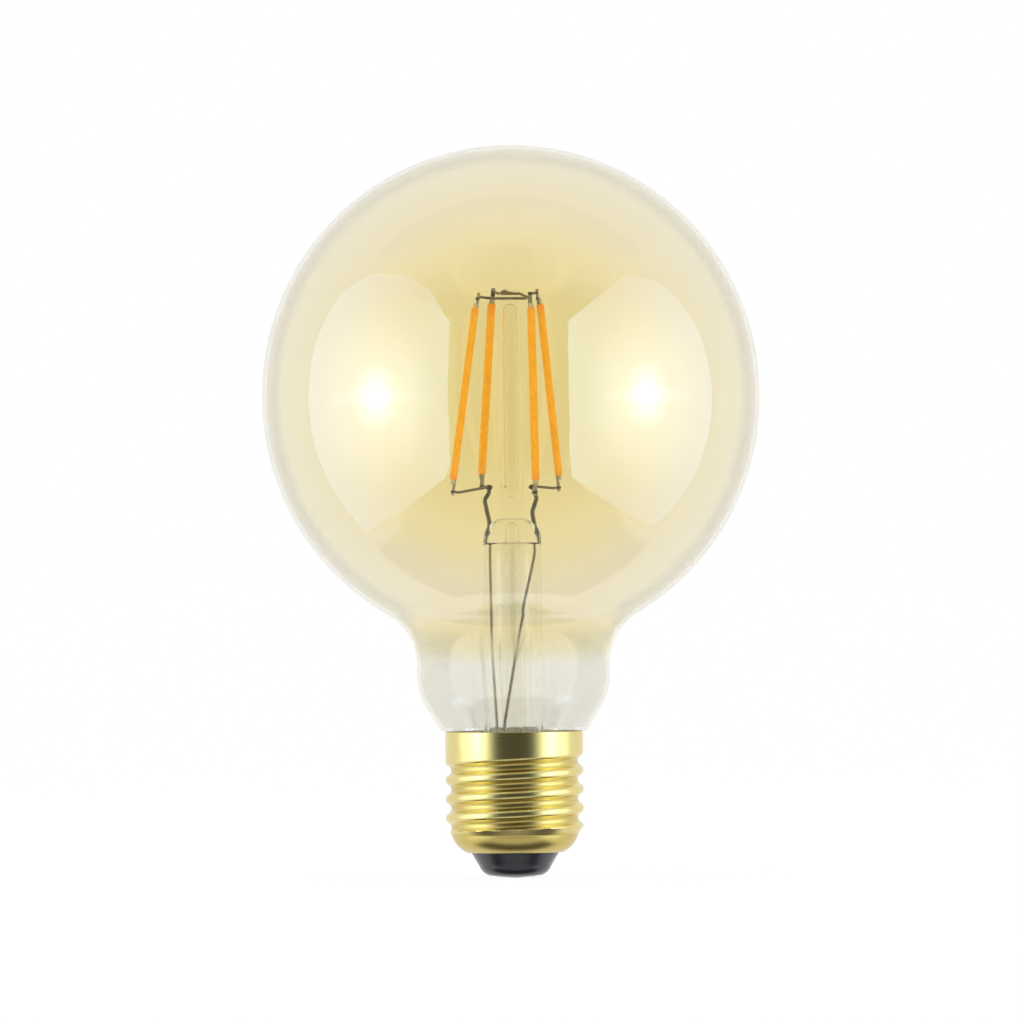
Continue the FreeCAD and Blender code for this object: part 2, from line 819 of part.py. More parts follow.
def filament(name, place):
    """Chip strip on its carrier, in its coat, with a metal tab at each end."""
    where = filament_placement(place)
    half_width = carrier_width / 2
    half_depth = carrier_depth / 2

    strip = new_body(f"carrier_{name}")
    outline = new_sketch(strip, "CarrierOutline", "XY_Plane")
    draw_box(outline, -half_width, half_width, -half_depth, half_depth)
    length = stick_length + carrier_overhang * 2
    pad(strip, "Carrier", outline, length)
    first_chip = new_sketch(strip, "ChipOutline", "XZ_Plane")
    margin = (stick_length - chip_pitch * (CHIP_COUNT - 1)) / 2 + carrier_overhang
    low = margin - chip_length / 2
    draw_box(first_chip, -chip_width / 2, chip_width / 2, low, low + chip_length)
    chip = pad(strip, "Chip", first_chip, half_depth + chip_rise)
    chip.Reversed = True
    row = strip.newObject("PartDesign::LinearPattern", "ChipRow")
    row.Originals = [chip]
    row.Direction = (outline, ["N_Axis"])
    bind(row, "Length", chip_pitch * (CHIP_COUNT - 1))
    row.Occurrences = CHIP_COUNT
    strip.Tip = row
    strip.Placement = moved(where, -carrier_overhang)
    subpart(strip, f"chip_strip_{name}")

    coat = new_body(f"coat_{name}")
    section = new_sketch(coat, "CoatSection", "XY_Plane")
    wide = stick_width / 2
    deep = stick_depth / 2
    draw_outline(section, (0, -deep), [
        (wide - stick_round, -deep),
        (wide, stick_round - deep, stick_round, 1),
        (wide, deep - stick_round),
        (wide - stick_round, deep, stick_round, 1),
        (stick_round - wide, deep),
        (-wide, deep - stick_round, stick_round, 1),
        (-wide, stick_round - deep),
        (stick_round - wide, -deep, stick_round, 1),
    ])
    slot_wide = half_width + slot_fit
    draw_box(section, -slot_wide, slot_wide, -half_depth - slot_fit, half_depth + chip_rise + slot_fit)
    pad(coat, "Coat", section, stick_length)
    coat.Placement = where
    subpart(coat, f"filament_coat_{name}")

    for end in ("top", "foot"):
        tab = new_body(f"tab_{end}_{name}")
        plate = new_sketch(tab, "TabSection", "XY_Plane")
        draw_box(plate, -tab_width / 2, tab_width / 2, -half_depth - tab_depth, -half_depth)
        pad(tab, "Tab", plate, tab_length)
        start = stick_length + slot_fit if end == "top" else -tab_length - slot_fit
        tab.Placement = moved(where, start)
        subpart(tab, f"filament_tab_{end}_{name}")


def lamp_wires():
    """Leads through the press, posts, lower arms and the two crossing top jumpers."""
    low = board_height - wire_tail
    clear = board_top + lead_tail
    joint = post_joint
    reach = lead_side
    left_slack = [(x, y, seal_height + stem_climb * share) for x, y, share in LEFT_SLACK]
    right_slack = [(x, y, seal_height + stem_climb * share) for x, y, share in RIGHT_SLACK]
    left = wire("lead_left", [
        (*LEFT_HOLE, low),
        (*LEFT_HOLE, clear),
        *left_slack,
        (-reach, 0, press_floor - stem_radius / 3),
        (-reach, 0, joint),
    ], lead_radius, lead_bend)
    right = wire("lead_right", [
        (*RIGHT_HOLE, low),
        (*RIGHT_HOLE, clear),
        *right_slack,
        (reach, 0, press_floor - stem_radius / 3),
        (reach, 0, joint),
    ], lead_radius, lead_bend)
    post_left = wire("post_left", [
        (-reach, 0, joint),
        *((-reach - out, 0, press_top + post_length * share) for out, share in LEFT_BENDS),
        (-reach, 0, post_top),
    ], post_radius, post_bend)
    post_right = wire("post_right", [
        (reach, 0, joint),
        *((reach + out, 0, press_top + post_length * share) for out, share in RIGHT_BENDS),
        (reach, 0, post_top),
    ], post_radius, post_bend)
    knot = post_top + arm_radius + weld_gap
    for side, sign, pair in (("left", -1, ("front_left", "back_left")),
                             ("right", 1, ("back_right", "front_right"))):
        first, first_corner = weld_point(FILAMENTS[pair[0]], False)
        last, last_corner = weld_point(FILAMENTS[pair[1]], False)
        middle = V(sign * reach.value, 0, knot.value)
        wire(f"lower_arm_{side}", [first, first_corner, middle, last_corner, last], arm_radius, arm_bend)
    jumpers = []
    for label, pair, height in (("top_jumper_lower", ("front_left", "back_right"), lower_jumper),
                                ("top_jumper_upper", ("back_left", "front_right"),
                                 lower_jumper + jumper_step)):
        first, first_corner = weld_point(FILAMENTS[pair[0]], True)
        last, last_corner = weld_point(FILAMENTS[pair[1]], True)
        way = V(last.x - first.x, last.y - first.y, 0).normalize() * (tube_radius.value + post_bend.value)
        near = V(-way.x, -way.y, height.value)
        far = V(way.x, way.y, height.value)
        path = [first, first_corner, near, far, last_corner, last]
        jumpers.append(wire(label, path, arm_radius, arm_bend))
    return [left, right, post_left, post_right], jumpers


def neutral_wire():
    """Runs up between the glass seal and the thread and is held against the barrel by the cement."""
    gap_middle = (seal_radius + root_bore) / 2
    barrel_lane = barrel_bore - neutral_radius - neutral_fit
    climb = seal_height - board_top
    return wire("neutral_wire", [
        (*NEUTRAL_HOLE, board_height - wire_tail),
        (*NEUTRAL_HOLE, board_top + climb / 3),
        (0, gap_middle, seal_height - climb / 8),
        (0, gap_middle, cement_foot - neutral_radius * 3),
        (0, barrel_lane, taper_top),
        (0, barrel_lane, rim_height - cement_gap * 4),
    ], neutral_radius, arm_bend)


def board():
    body = new_body("driver_board")
    disc = new_sketch(body, "BoardOutline", "XY_Plane")
    draw_circle(disc, 0, 0, board_radius)
    draw_circle(disc, *LEFT_HOLE, lead_radius + hole_fit)
    draw_circle(disc, *RIGHT_HOLE, lead_radius + hole_fit)
    draw_circle(disc, *NEUTRAL_HOLE, neutral_radius + hole_fit)
    draw_circle(disc, fuse_length / 2 + fuse_lead_reach, -fuse_back, fuse_lead_radius + hole_fit)
    pad(body, "Board", disc, board_depth)
    body.Placement.Base = V(0, 0, board_height.value)
    body.setExpression(".Placement.Base.z", board_height.text)
    subpart(body, "driver_board")


def package(label, place, form, pitch, legs):
    """Moulded part on flat legs, two rows across its width."""
    length, width, rise = form
    body = new_body(label)
    outline = new_sketch(body, "PackageOutline", "XY_Plane")
    draw_box(outline, -length / 2, length / 2, -width / 2, width / 2)
    pad(body, "Package", outline, rise)
    feet = new_sketch(body, "LegOutline", "XY_Plane")
    side = width / 2 + leg_reach
    for index in range(legs):
        middle = (index - (legs - 1) / 2) * pitch
        draw_box(feet, middle - leg_width / 2, middle + leg_width / 2, -side, side)
    pad(body, "Legs", feet, leg_depth)
    body.Placement.Base = V(*place, board_top.value)
    body.setExpression(".Placement.Base.z", board_top.text)
    subpart(body, label)


def capacitor():
    """Round can that hangs under the board."""
    body = new_body("smoothing_capacitor")
    top = board_height
    low = top - can_height
    revolve(body, "Can", (0, low), [
        (can_radius - can_round, low),
        (can_radius, low + can_round, can_round, 1),
        (can_radius, top),
        (0, top),
    ])
    body.Placement.Base = V(*CAN_PLACE, 0)
    subpart(body, "smoothing_capacitor")


def fuse():
    """Fusible resistor under the board, between the centre contact and the board."""
    half = fuse_length / 2
    body = new_body("fuse_resistor")
    outline = new_sketch(body, "FuseOutline", "XY_Plane")
    cap = fuse_chamfer
    draw_outline(outline, (-half, 0), [
        (-half, fuse_radius - cap),
        (cap - half, fuse_radius),
        (half - cap, fuse_radius),
        (half, fuse_radius - cap),
        (half, 0),
    ])
    turn = body.newObject("PartDesign::Revolution", "FuseBody")
    turn.Profile = outline
    turn.ReferenceAxis = (outline, ["H_Axis"])
    turn.Angle = 360
    body.Tip = turn
    body.Placement.Base = V(0, -fuse_back.value, fuse_height.value)
    subpart(body, "fuse_resistor")
    wire("fuse_lead", [
        (half, -fuse_back, fuse_height),
        (half + fuse_lead_reach, -fuse_back, fuse_height),
        (half + fuse_lead_reach, -fuse_back, board_top + wire_tail),
    ], fuse_lead_radius, fuse_lead_bend)
    wire("live_lead", [
        (-half, -fuse_back, fuse_height),
        (-half - fuse_lead_reach, -fuse_back, fuse_height),
        (-half - fuse_lead_reach, -fuse_back, fuse_height - live_drop),
        (0, 0, fuse_height - live_drop),
        (0, 0, contact_drop),
    ], fuse_lead_radius, fuse_lead_bend)


def build():
    leads, jumpers = lamp_wires()
    globe()
    subpart(cut_by("stem_flare", stem(), leads), "stem_flare")
    exhaust_tube()
    subpart(cut_by("centre_pillar", pillar(), jumpers), "centre_pillar")
    for name, place in FILAMENTS.items():
        filament(name, place)
    cap_shell()
    insulator()
    centre_contact()
    capping_cement(neutral_wire())
    board()
    package("bridge_rectifier", BRIDGE_PLACE, (bridge_length, bridge_width, bridge_rise), bridge_pitch, 2)
    package("driver_chip", CHIP_PLACE, (chip_body_length, chip_body_width, chip_body_rise), chip_leg_pitch, 4)
    capacitor()
    fuse()


def check_and_write():
    DOC.recompute()
    for item in DOC.Objects:
        if "Invalid" in item.State or "Error" in item.State:
            raise RuntimeError(f"{item.Name} ({item.Label}) failed: {item.State}")
    os.makedirs("parts", exist_ok=True)
    for item in SUBPARTS:
        shape = item.Shape
        if shape.isNull() or not shape.isValid() or len(shape.Solids) != 1:
            raise RuntimeError(f"{item.Label} is not one valid solid")
    for item in SUBPARTS:
        item.Shape.exportStep(f"parts/{item.Label}.step")
        print(f"{item.Label}: {item.Shape.Volume:.2f} mm3")


build()
check_and_write()
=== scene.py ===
"""Gold globe bulb with four upright filaments, a glass mount and a brass screw cap."""

import math

import bmesh
import bpy
from bpy.props import FloatProperty, FloatVectorProperty, PointerProperty
from mathutils import Matrix, Vector


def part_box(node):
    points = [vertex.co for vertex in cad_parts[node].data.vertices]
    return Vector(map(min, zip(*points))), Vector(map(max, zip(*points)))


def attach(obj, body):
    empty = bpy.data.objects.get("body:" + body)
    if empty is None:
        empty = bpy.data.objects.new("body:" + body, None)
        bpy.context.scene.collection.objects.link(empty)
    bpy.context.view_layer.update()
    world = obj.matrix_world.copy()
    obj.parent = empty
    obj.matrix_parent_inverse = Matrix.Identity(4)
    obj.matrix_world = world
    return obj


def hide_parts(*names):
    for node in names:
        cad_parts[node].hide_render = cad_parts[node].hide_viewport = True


bl_info = {
    "name": "Globe Filament Bulb",
    "version": (1, 0, 0),
    "blender": (4, 5, 0),
    "location": "View3D > Sidebar > Globe Bulb",
    "description": "Builds a gold-tinted globe bulb with four upright filaments and a brass screw cap",
    "category": "Add Mesh",
}

MM = 0.001
WHITE = (1.0, 1.0, 1.0, 1.0)
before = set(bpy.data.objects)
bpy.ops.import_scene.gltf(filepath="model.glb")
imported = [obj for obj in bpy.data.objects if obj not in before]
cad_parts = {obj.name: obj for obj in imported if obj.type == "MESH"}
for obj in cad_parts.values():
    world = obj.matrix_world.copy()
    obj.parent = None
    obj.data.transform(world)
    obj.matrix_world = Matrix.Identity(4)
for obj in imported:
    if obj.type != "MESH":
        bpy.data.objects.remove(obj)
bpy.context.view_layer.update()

# Foot and top of each filament's coat, in millimetres: foot x, foot y, foot z, top x, top y.
FILAMENTS = {
    "front_left": (-11.14, -5.0, 76.2, -6.65, -2.9),
    "back_left": (-5.75, 10.2, 77.2, -3.54, 6.0),
    "front_right": (4.55, -10.4, 76.0, 4.0, -6.0),
    "back_right": (9.04, 5.0, 76.8, 5.75, 3.0),
}

# Height at which a jumper crosses each filament's top tab, in millimetres.
JUMPER_HEIGHTS = {"front_left": 110.7, "back_right": 110.7, "back_left": 111.55, "front_right": 111.55}

# Where each post is welded to its lower arm, in millimetres.
POST_WELDS = ((-4.35, 0.0, 74.62), (3.89, 0.0, 74.62))

# Weld beads in millimetres: their radii, how far below its coat a foot's bead sits, and how far in from the tab.
POST_BEAD, JUMPER_BEAD, FOOT_BEAD = 0.60, 0.40, 0.42
FOOT_DROP, BEAD_INSET = 2.35, 0.3

# Heights between which a finish changes, in millimetres.
TINT_EDGE = (39.0, 43.8)
HOLLOW_TINT = (44.0, 56.0)
BARE_NECK = (38.0, 49.0)
COAT_FOOT = (76.0, 78.8)
COAT_TOP = (106.6, 109.4)

# Height and outer radius of the ring where the globe's skirt is sealed to the stem's flare, in millimetres.
SEAL_HEIGHT = 20.2
SEAL_RADIUS = 10.55

# Stem, and the exhaust tube and pillar that share one tube, in millimetres.
STEM_RADIUS, STEM_BORE = 5.5, 4.8
TUBE_RADIUS, TUBE_BORE = 2.2, 1.2
FLARE_TOP = 29.9465
PRESS_FOOT, PRESS_RISE, PRESS_TOP = 62.0, 4.5, 68.6
PRESS_PINCH = 0.33

# Height of the thread's groove at angle zero, in millimetres, and the degrees from there over which it runs out.
THREAD_START = 22.33
RUN_OUT = 150.0

# Cap in millimetres: how far a crest stands past the barrel, and the heights between which the thread is rolled.
CREST_RISE = 0.03
THREAD_FOOT, THREAD_TOP = 6.6, 26.5


def reach(node, corner, axis):
    """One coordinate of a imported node's box: corner 0 is the lowest, 1 the highest."""
    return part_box(node)[corner][axis]


def length(name, description, default):
    """A size in the panel, shown as a length."""
    return FloatProperty(name=name, description=description, default=default, unit="LENGTH", subtype="DISTANCE")


def tint(name, description, default):
    """A colour in the panel."""
    return FloatVectorProperty(name=name, description=description, default=default, size=4, min=0.0, max=1.0,
                               subtype="COLOR")


class GlobeBulbSizes(bpy.types.PropertyGroup):
    """Sizes of the glass, the cap and the filaments"""

    total_height: length("Total height", "From the foot of the contact to the crown of the globe",
                         reach("glass_globe", 1, 2))
    globe_radius: length("Globe radius", "Outer radius of the globe", reach("glass_globe", 1, 0))
    glass_wall: length("Glass wall", "Thickness of the blown glass", 0.8 * MM)
    neck_radius: length("Neck radius", "Outer radius of the glass at its waist", 18.47 * MM)
    neck_fillet: length("Neck fillet", "Radius of the hollow between globe and waist", 11.1 * MM)
    rim_height: length("Rim height", "Height of the cap's rim", reach("cap_shell", 1, 2))
    barrel_radius: length("Barrel radius", "Outer radius of the cap's plain barrel", reach("cap_shell", 1, 0))
    thread_depth: length("Thread depth", "From crest to root of the screw thread", 1.1 * MM)
    thread_pitch: length("Thread pitch", "Rise of the screw thread in one turn", 3.629 * MM)
    stick_length: length("Filament length", "Coated length of one filament", 33.0 * MM)
    stick_width: length("Filament width", "Width of one filament's coat", 1.5 * MM)
    stick_depth: length("Filament depth", "Depth of one filament's coat", 1.25 * MM)


class GlobeBulbColours(bpy.types.PropertyGroup):
    """Colours of the glass, the coats and the metals"""

    gold: tint("Gold glass", "Tint of the globe's glass seen straight on", (0.861, 0.773, 0.48, 1.0))
    # The pale gold is a painted sheen: the glass is painted paler towards its outline in place of the pale
    # reflection it shows there.
    painted_sheen_gold: tint("Pale gold glass", "Tint of the globe's glass towards its outline", (0.835, 0.81, 0.74, 1.0))
    neck: tint("Neck glass", "Tint of the untinted neck", (0.85, 0.855, 0.835, 1.0))
    clear: tint("Clear glass", "Tint of the mount", (0.97, 0.965, 0.945, 1.0))
    phosphor: tint("Phosphor", "Coat of the filaments", (1.0, 0.50, 0.05, 1.0))
    brass: tint("Brass", "Rolled sheet of the screw cap", (0.76, 0.64, 0.26, 1.0))
    # The wire colour is darkened far below bare nickel as painted shade, for the dark look of thin wires inside the
    # glass.
    wire: tint("Wire", "Nickel wires and posts", (0.23, 0.20, 0.16, 1.0))
    insulator: tint("Insulator", "Moulded black glass", (0.012, 0.013, 0.016, 1.0))
    contact: tint("Contact", "Centre contact's plate", (0.62, 0.58, 0.50, 1.0))


def sizes():
    return bpy.context.scene.globe_bulb_sizes


def colours():
    return bpy.context.scene.globe_bulb_colours


def shaded(colour, share=1.0):
    """A colour's first three numbers times a share, with its alpha at one."""
    return tuple(share * value for value in colour[:3]) + (1.0,)


def smooth(value):
    """Smooth step from 0 to 1, held at its ends."""
    share = min(max(value, 0.0), 1.0)
    return share * share * (3 - 2 * share)


class Channel:
    """A socket's value in a finish; the usual signs add the Math nodes."""

    def __init__(self, finish, socket):
        self.finish = finish
        self.socket = socket

    def joined(self, operation, first, second):
        return self.finish.node("ShaderNodeMath", {"operation": operation}, {0: first, 1: second})

    def __add__(self, other):
        return self.joined("ADD", self, other)

    def __radd__(self, other):
        return self.joined("ADD", other, self)

    def __sub__(self, other):
        return self.joined("SUBTRACT", self, other)

    def __rsub__(self, other):
        return self.joined("SUBTRACT", other, self)

    def __mul__(self, other):
        return self.joined("MULTIPLY", self, other)

    def __rmul__(self, other):
        return self.joined("MULTIPLY", other, self)


class Finish:
    """A material, or a world, and the nodes that make it."""

    def __init__(self, name, store="materials"):
        self.owner = getattr(bpy.data, store).new(name)
        self.owner.use_nodes = True
        self.tree = self.owner.node_tree
        self.tree.nodes.clear()

    def node(self, kind, settings=None, inputs=None, output=0):
        """A new node with its settings and inputs, given back as the channel of one of its outputs."""
        made = self.tree.nodes.new(kind)
        for key, value in (settings or {}).items():
            setattr(made, key, value)
        for key, value in (inputs or {}).items():
            if isinstance(value, Channel):
                self.tree.links.new(value.socket, made.inputs[key])
            else:
                made.inputs[key].default_value = value
        return Channel(self, made.outputs[output])

    def place(self):
        """Position on the piece, in the bulb's own frame."""
        return self.node("ShaderNodeTexCoord", output="Object")

    def axis(self, place, name):
        """One coordinate of a place."""
        return self.node("ShaderNodeSeparateXYZ", None, {0: place}, name)

    def stretched(self, place, scale, offset=(0.0, 0.0, 0.0)):
        """A place scaled and then shifted."""
        return self.node("ShaderNodeMapping", None, {"Vector": place, "Scale": scale, "Location": offset})

    def distance(self, place, scale, offset=(0.0, 0.0, 0.0)):
        """How far a place lies from the origin once it is stretched."""
        return self.node("ShaderNodeVectorMath", {"operation": "LENGTH"}, {0: self.stretched(place, scale, offset)},
                         "Value")

    def noise(self, place, scale, detail=3.0, roughness=0.5):
        return self.node("ShaderNodeTexNoise", None,
                         {"Vector": place, "Scale": scale, "Detail": detail, "Roughness": roughness})

    def ease(self, value, start, end, low=0.0, high=1.0):
        """From low to high while a value goes from start to end, smoothly."""
        return self.node("ShaderNodeMapRange", {"interpolation_type": "SMOOTHSTEP"},
                         {"Value": value, "From Min": start, "From Max": end, "To Min": low, "To Max": high})

    def between(self, height, heights, low, high):
        """From low to high between two heights in millimetres."""
        return self.ease(height, heights[0] * MM, heights[1] * MM, low, high)

    def blend(self, share, first, second):
        """The first colour, with a share of the second."""
        return self.node("ShaderNodeMix", {"data_type": "RGBA"}, {0: share, 6: first, 7: second}, 2)

    def bump(self, height, distance, strength=1.0):
        return self.node("ShaderNodeBump", None, {"Height": height, "Distance": distance, "Strength": strength})

    def ray(self, kind):
        """What the light path says of the ray that arrives."""
        return self.node("ShaderNodeLightPath", output=kind)

    def principled(self, inputs):
        return self.node("ShaderNodeBsdfPrincipled", None, inputs)

    def clear(self, shade=WHITE):
        return self.node("ShaderNodeBsdfTransparent", None, {"Color": shade})

    def glow(self, colour, strength):
        return self.node("ShaderNodeEmission", None, {"Color": colour, "Strength": strength})

    def mix(self, share, first, second):
        """The first shader, with a share of the second."""
        return self.node("ShaderNodeMixShader", None, {0: share, 1: first, 2: second})

    def surface(self, shader, kind="ShaderNodeOutputMaterial"):
        """Join the last shader to the output; gives the finished material or world."""
        output = self.tree.nodes.new(kind)
        self.tree.links.new(shader.socket, output.inputs["Surface"])
        return self.owner

    def opaque(self, inputs):
        return self.surface(self.principled(inputs))

    def glass(self, base, ior, normal, shade, bare=0.0, rim=0.0, painted_sheen_shade=WHITE):
        """Glass that lets lamp light through to what it holds; bare and rim are shares without a mirror."""
        body = self.principled({"Base Color": base, "Roughness": 0.0, "IOR": ior, "Transmission Weight": 1.0,
                                "Normal": normal})
        if rim:
            body = self.mix(rim, body, self.clear(painted_sheen_shade))
        share = 1.0 - (1.0 - self.ray("Is Shadow Ray")) * (1.0 - bare)
        return self.surface(self.mix(share, body, self.clear(shade)))


def gold_glass():
    """Amber glass: paler at a grazing angle, which is a painted sheen, and down at the neck's hollow, and clear in
    the neck itself.
    """
    finish = Finish("gold_glass")
    place = finish.place()
    height = finish.axis(place, "Z")
    cloud = finish.noise(place, 24.0, 2.0)
    band = finish.between(height + (cloud - 0.5) * 0.002, TINT_EDGE, 0.0, 1.0)
    share = band * (0.97 + (cloud - 0.5) * 0.12)
    facing = finish.node("ShaderNodeLayerWeight", None, {"Blend": 0.5}, "Facing")
    # Painted sheen: the tint goes paler as the glass turns to a grazing angle.
    gold = finish.blend(finish.ease(facing, 0.0, 0.44), shaded(colours().gold), shaded(colours().painted_sheen_gold))
    hollow = (0.80, 0.735, 0.51, 1.0)
    gold = finish.blend(finish.between(height, HOLLOW_TINT, 0.8, 0.0), gold, hollow)
    base = finish.blend(share, shaded(colours().neck), gold)
    ripple = finish.noise(finish.stretched(place, (8.0, 8.0, 60.0)), 1.0, 2.0)
    normal = finish.bump(ripple, 0.02 * MM)
    bare = finish.between(height, BARE_NECK, 0.85, 0.0)
    # Painted sheen: at a grazing angle a share of the glass gives way to a pale clear layer without a mirror.
    rim = finish.ease(facing, 0.62, 0.85, 0.0, 0.4)
    return finish.glass(base, 1.5, normal, (0.925, 0.92, 0.89, 1.0), bare, rim, (0.968, 0.955, 0.893, 1.0))


def clear_glass(name, ior):
    """Untinted drawn glass."""
    finish = Finish(name)
    place = finish.place()
    cloud = finish.noise(place, 90.0, 2.0)
    base = finish.blend(cloud * 0.5, shaded(colours().clear), (0.95, 0.95, 0.93, 1.0))
    draw = finish.noise(finish.stretched(place, (220.0, 220.0, 30.0)), 1.0, 1.0)
    normal = finish.bump(draw, 0.0015 * MM)
    return finish.glass(base, ior, normal, (0.96, 0.97, 0.96, 1.0))


def phosphor():
    """Orange coat with a fine grain, redder at both ends; a faint light of its own keeps it vivid."""
    finish = Finish("phosphor_coat")
    place = finish.place()
    cloud = finish.noise(place, 900.0, 3.0)
    grain = finish.noise(place, 6000.0, 2.0)
    deep = shaded(colours().phosphor, 0.9)
    base = finish.blend(finish.ease(cloud, 0.3, 0.7), deep, shaded(colours().phosphor))
    height = finish.axis(place, "Z")
    ends = finish.between(height, COAT_FOOT, 0.7, 0.0) + finish.between(height, COAT_TOP, 0.0, 0.7)
    base = finish.blend(ends, base, (0.90, 0.32, 0.02, 1.0))
    normal = finish.bump(grain, 0.02 * MM, 0.6)
    return finish.opaque({
        "Base Color": base, "Roughness": 0.35 + cloud * 0.15, "Normal": normal, "IOR": 1.42,
        "Subsurface Weight": 0.3, "Subsurface Scale": 0.4 * MM, "Subsurface Radius": (1.0, 0.5, 0.1),
        "Emission Color": base, "Emission Strength": 0.38})


def metal(name, colour, roughness, scale, spread=0.12, grain=0.004):
    """Bare metal with a clouded tarnish and fine marks."""
    finish = Finish(name)
    place = finish.place()
    cloud = finish.noise(place, scale, 3.0)
    marks = finish.noise(place, scale * 9.0, 2.0)
    base = finish.blend(finish.ease(cloud, 0.42, 0.72), shaded(colour), shaded(colour, 0.72))
    normal = finish.bump(marks, grain * MM)
    return finish.opaque({"Base Color": base, "Metallic": 1.0, "Roughness": roughness + (marks - 0.5) * spread,
                          "Normal": normal})


def brass():
    """Rolled sheet: turned lines round the barrel, and browner down in the thread."""
    finish = Finish("rolled_brass")
    place = finish.place()
    lines = finish.noise(finish.stretched(place, (25.0, 25.0, 5200.0)), 1.0, 3.0, 0.6)
    cloud = finish.noise(place, 160.0, 4.0, 0.6)
    across = finish.distance(place, (1.0, 1.0, 0.0))
    root = sizes().barrel_radius - sizes().thread_depth
    groove = finish.ease(across, root, root + 0.5 * MM, 1.0, 0.0)
    dull = groove * 0.6 + finish.ease(cloud, 0.45, 0.8, 0.0, 0.25)
    base = finish.blend(dull, shaded(colours().brass), (0.56, 0.41, 0.09, 1.0))
    rough = 0.25 + (lines - 0.5) * 0.12 + dull * 0.06
    normal = finish.bump(lines, 0.006 * MM)
    return finish.opaque({"Base Color": base, "Metallic": 1.0, "Roughness": rough, "Normal": normal})


def black_glass():
    """Black moulded glass with faint flow marks and pits."""
    finish = Finish("insulator_glass")
    place = finish.place()
    flow = finish.noise(finish.stretched(place, (120.0, 120.0, 420.0)), 1.0, 3.0)
    base = finish.blend(flow, shaded(colours().insulator), (0.022, 0.024, 0.030, 1.0))
    pits = finish.noise(place, 2600.0, 2.0)
    normal = finish.bump(pits, 0.01 * MM)
    return finish.opaque({"Base Color": base, "Roughness": 0.16 + flow * 0.16, "Normal": normal, "IOR": 1.52,
                          "Coat Weight": 0.2})


def moulded(name, colour, roughness, scale, relief=0.01):
    """Plain moulded, painted or set material with a mottled skin."""
    finish = Finish(name)
    place = finish.place()
    cloud = finish.noise(place, scale, 4.0)
    grain = finish.noise(place, scale * 6.0, 2.0)
    base = finish.blend(finish.ease(cloud, 0.35, 0.7), shaded(colour), shaded(colour, 0.7))
    normal = finish.bump(grain, relief * MM)
    return finish.opaque({"Base Color": base, "Roughness": roughness + (grain - 0.5) * 0.1, "Normal": normal})


class Outline:
    """A line of straight runs and arcs, in millimetres in the XZ plane, to be turned round the axis."""

    def __init__(self, x, z):
        self.mesh = bmesh.new()
        self.tip = self.mesh.verts.new((x, 0.0, z))

    def run(self, x, z, steps=1):
        """Straight to x, z in equal steps."""
        start = self.tip.co.copy()
        for step in range(1, steps + 1):
            self.tip = bmesh.ops.extrude_vert_indiv(self.mesh, verts=[self.tip])["verts"][0]
            self.tip.co = start.lerp(Vector((x, 0.0, z)), step / steps)
        return self

    def arc(self, x, z, radius, side, step_angle=3.0):
        """Arc to x, z with its centre left (1) or right (-1) of the way it runs."""
        start = self.tip.co.copy()
        end = Vector((x, 0.0, z))
        chord = end - start
        lift = math.sqrt(max(radius * radius - chord.length_squared / 4, 0.0))
        left = Vector((-chord.z, 0.0, chord.x)).normalized()
        centre = (start + end) / 2 + left * (lift * side)
        turn = 2 * math.asin(min(chord.length / 2 / radius, 1.0))
        steps = max(2, math.ceil(math.degrees(turn) / step_angle))
        made = bmesh.ops.spin(self.mesh, geom=[self.tip], cent=centre, axis=(0.0, 1.0, 0.0),
                              angle=-turn * side, steps=steps, use_merge=False)
        self.tip = next(item for item in made["geom_last"] if isinstance(item, bmesh.types.BMVert))
        self.tip.co = end
        return self

    def turned(self, segments):
        """The whole line spun once round the axis, closed and facing out, in metres."""
        bmesh.ops.spin(self.mesh, geom=self.mesh.verts[:] + self.mesh.edges[:], cent=(0.0, 0.0, 0.0),
                       axis=(0.0, 0.0, 1.0), angle=2 * math.pi, steps=segments, use_merge=True)
        bmesh.ops.remove_doubles(self.mesh, verts=self.mesh.verts, dist=0.0005)
        bmesh.ops.scale(self.mesh, vec=(MM, MM, MM), verts=self.mesh.verts)
        bmesh.ops.recalc_face_normals(self.mesh, faces=self.mesh.faces)
        return self.mesh


def take_in(mesh, other):
    """Add another bmesh to this one and free it."""
    bridge = bpy.data.meshes.new("bridge")
    other.to_mesh(bridge)
    other.free()
    mesh.from_mesh(bridge)
    bpy.data.meshes.remove(bridge)


def new_object(name, mesh, materials):
    """A new object in the scene that takes over a bmesh."""
    data = bpy.data.meshes.new(name)
    mesh.to_mesh(data)
    mesh.free()
    for material in materials:
        data.materials.append(material)
    item = bpy.data.objects.new(name, data)
    bpy.context.scene.collection.objects.link(item)
    return item


def add_piece(name, mesh, material, nodes, sharp=40.0):
    """A piece of the bulb, with the nodes it stands in for."""
    item = new_object(name, mesh, [material])
    item.data.shade_smooth()
    item.data.set_sharp_from_angle(angle=math.radians(sharp))
    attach(item, "root")
    if nodes:
        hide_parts(*nodes)
    return item


def dress(material, *nodes):
    """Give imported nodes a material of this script."""
    for name in nodes:
        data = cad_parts[name].data
        data.materials.clear()
        data.materials.append(material)


def filament_frame(name):
    """Foot, direction to the top and outward side of one filament, in millimetres."""
    foot_x, foot_y, foot_z, top_x, top_y = FILAMENTS[name]
    stick = sizes().stick_length / MM
    lean = Vector((top_x - foot_x, top_y - foot_y, 0.0))
    along = (lean + Vector((0.0, 0.0, math.sqrt(stick * stick - lean.length_squared)))).normalized()
    outward = Vector((foot_x, foot_y, 0.0))
    outward = (outward - along * outward.dot(along)).normalized()
    return Vector((foot_x, foot_y, foot_z)), along, outward


def filament_matrix(name):
    """From a filament's own axes, along Z from its foot, to its place in the bulb, in millimetres."""
    foot, along, outward = filament_frame(name)
    across = outward.cross(along)
    turn = Matrix((across, outward, along)).transposed().to_4x4()
    return Matrix.Translation(foot) @ turn


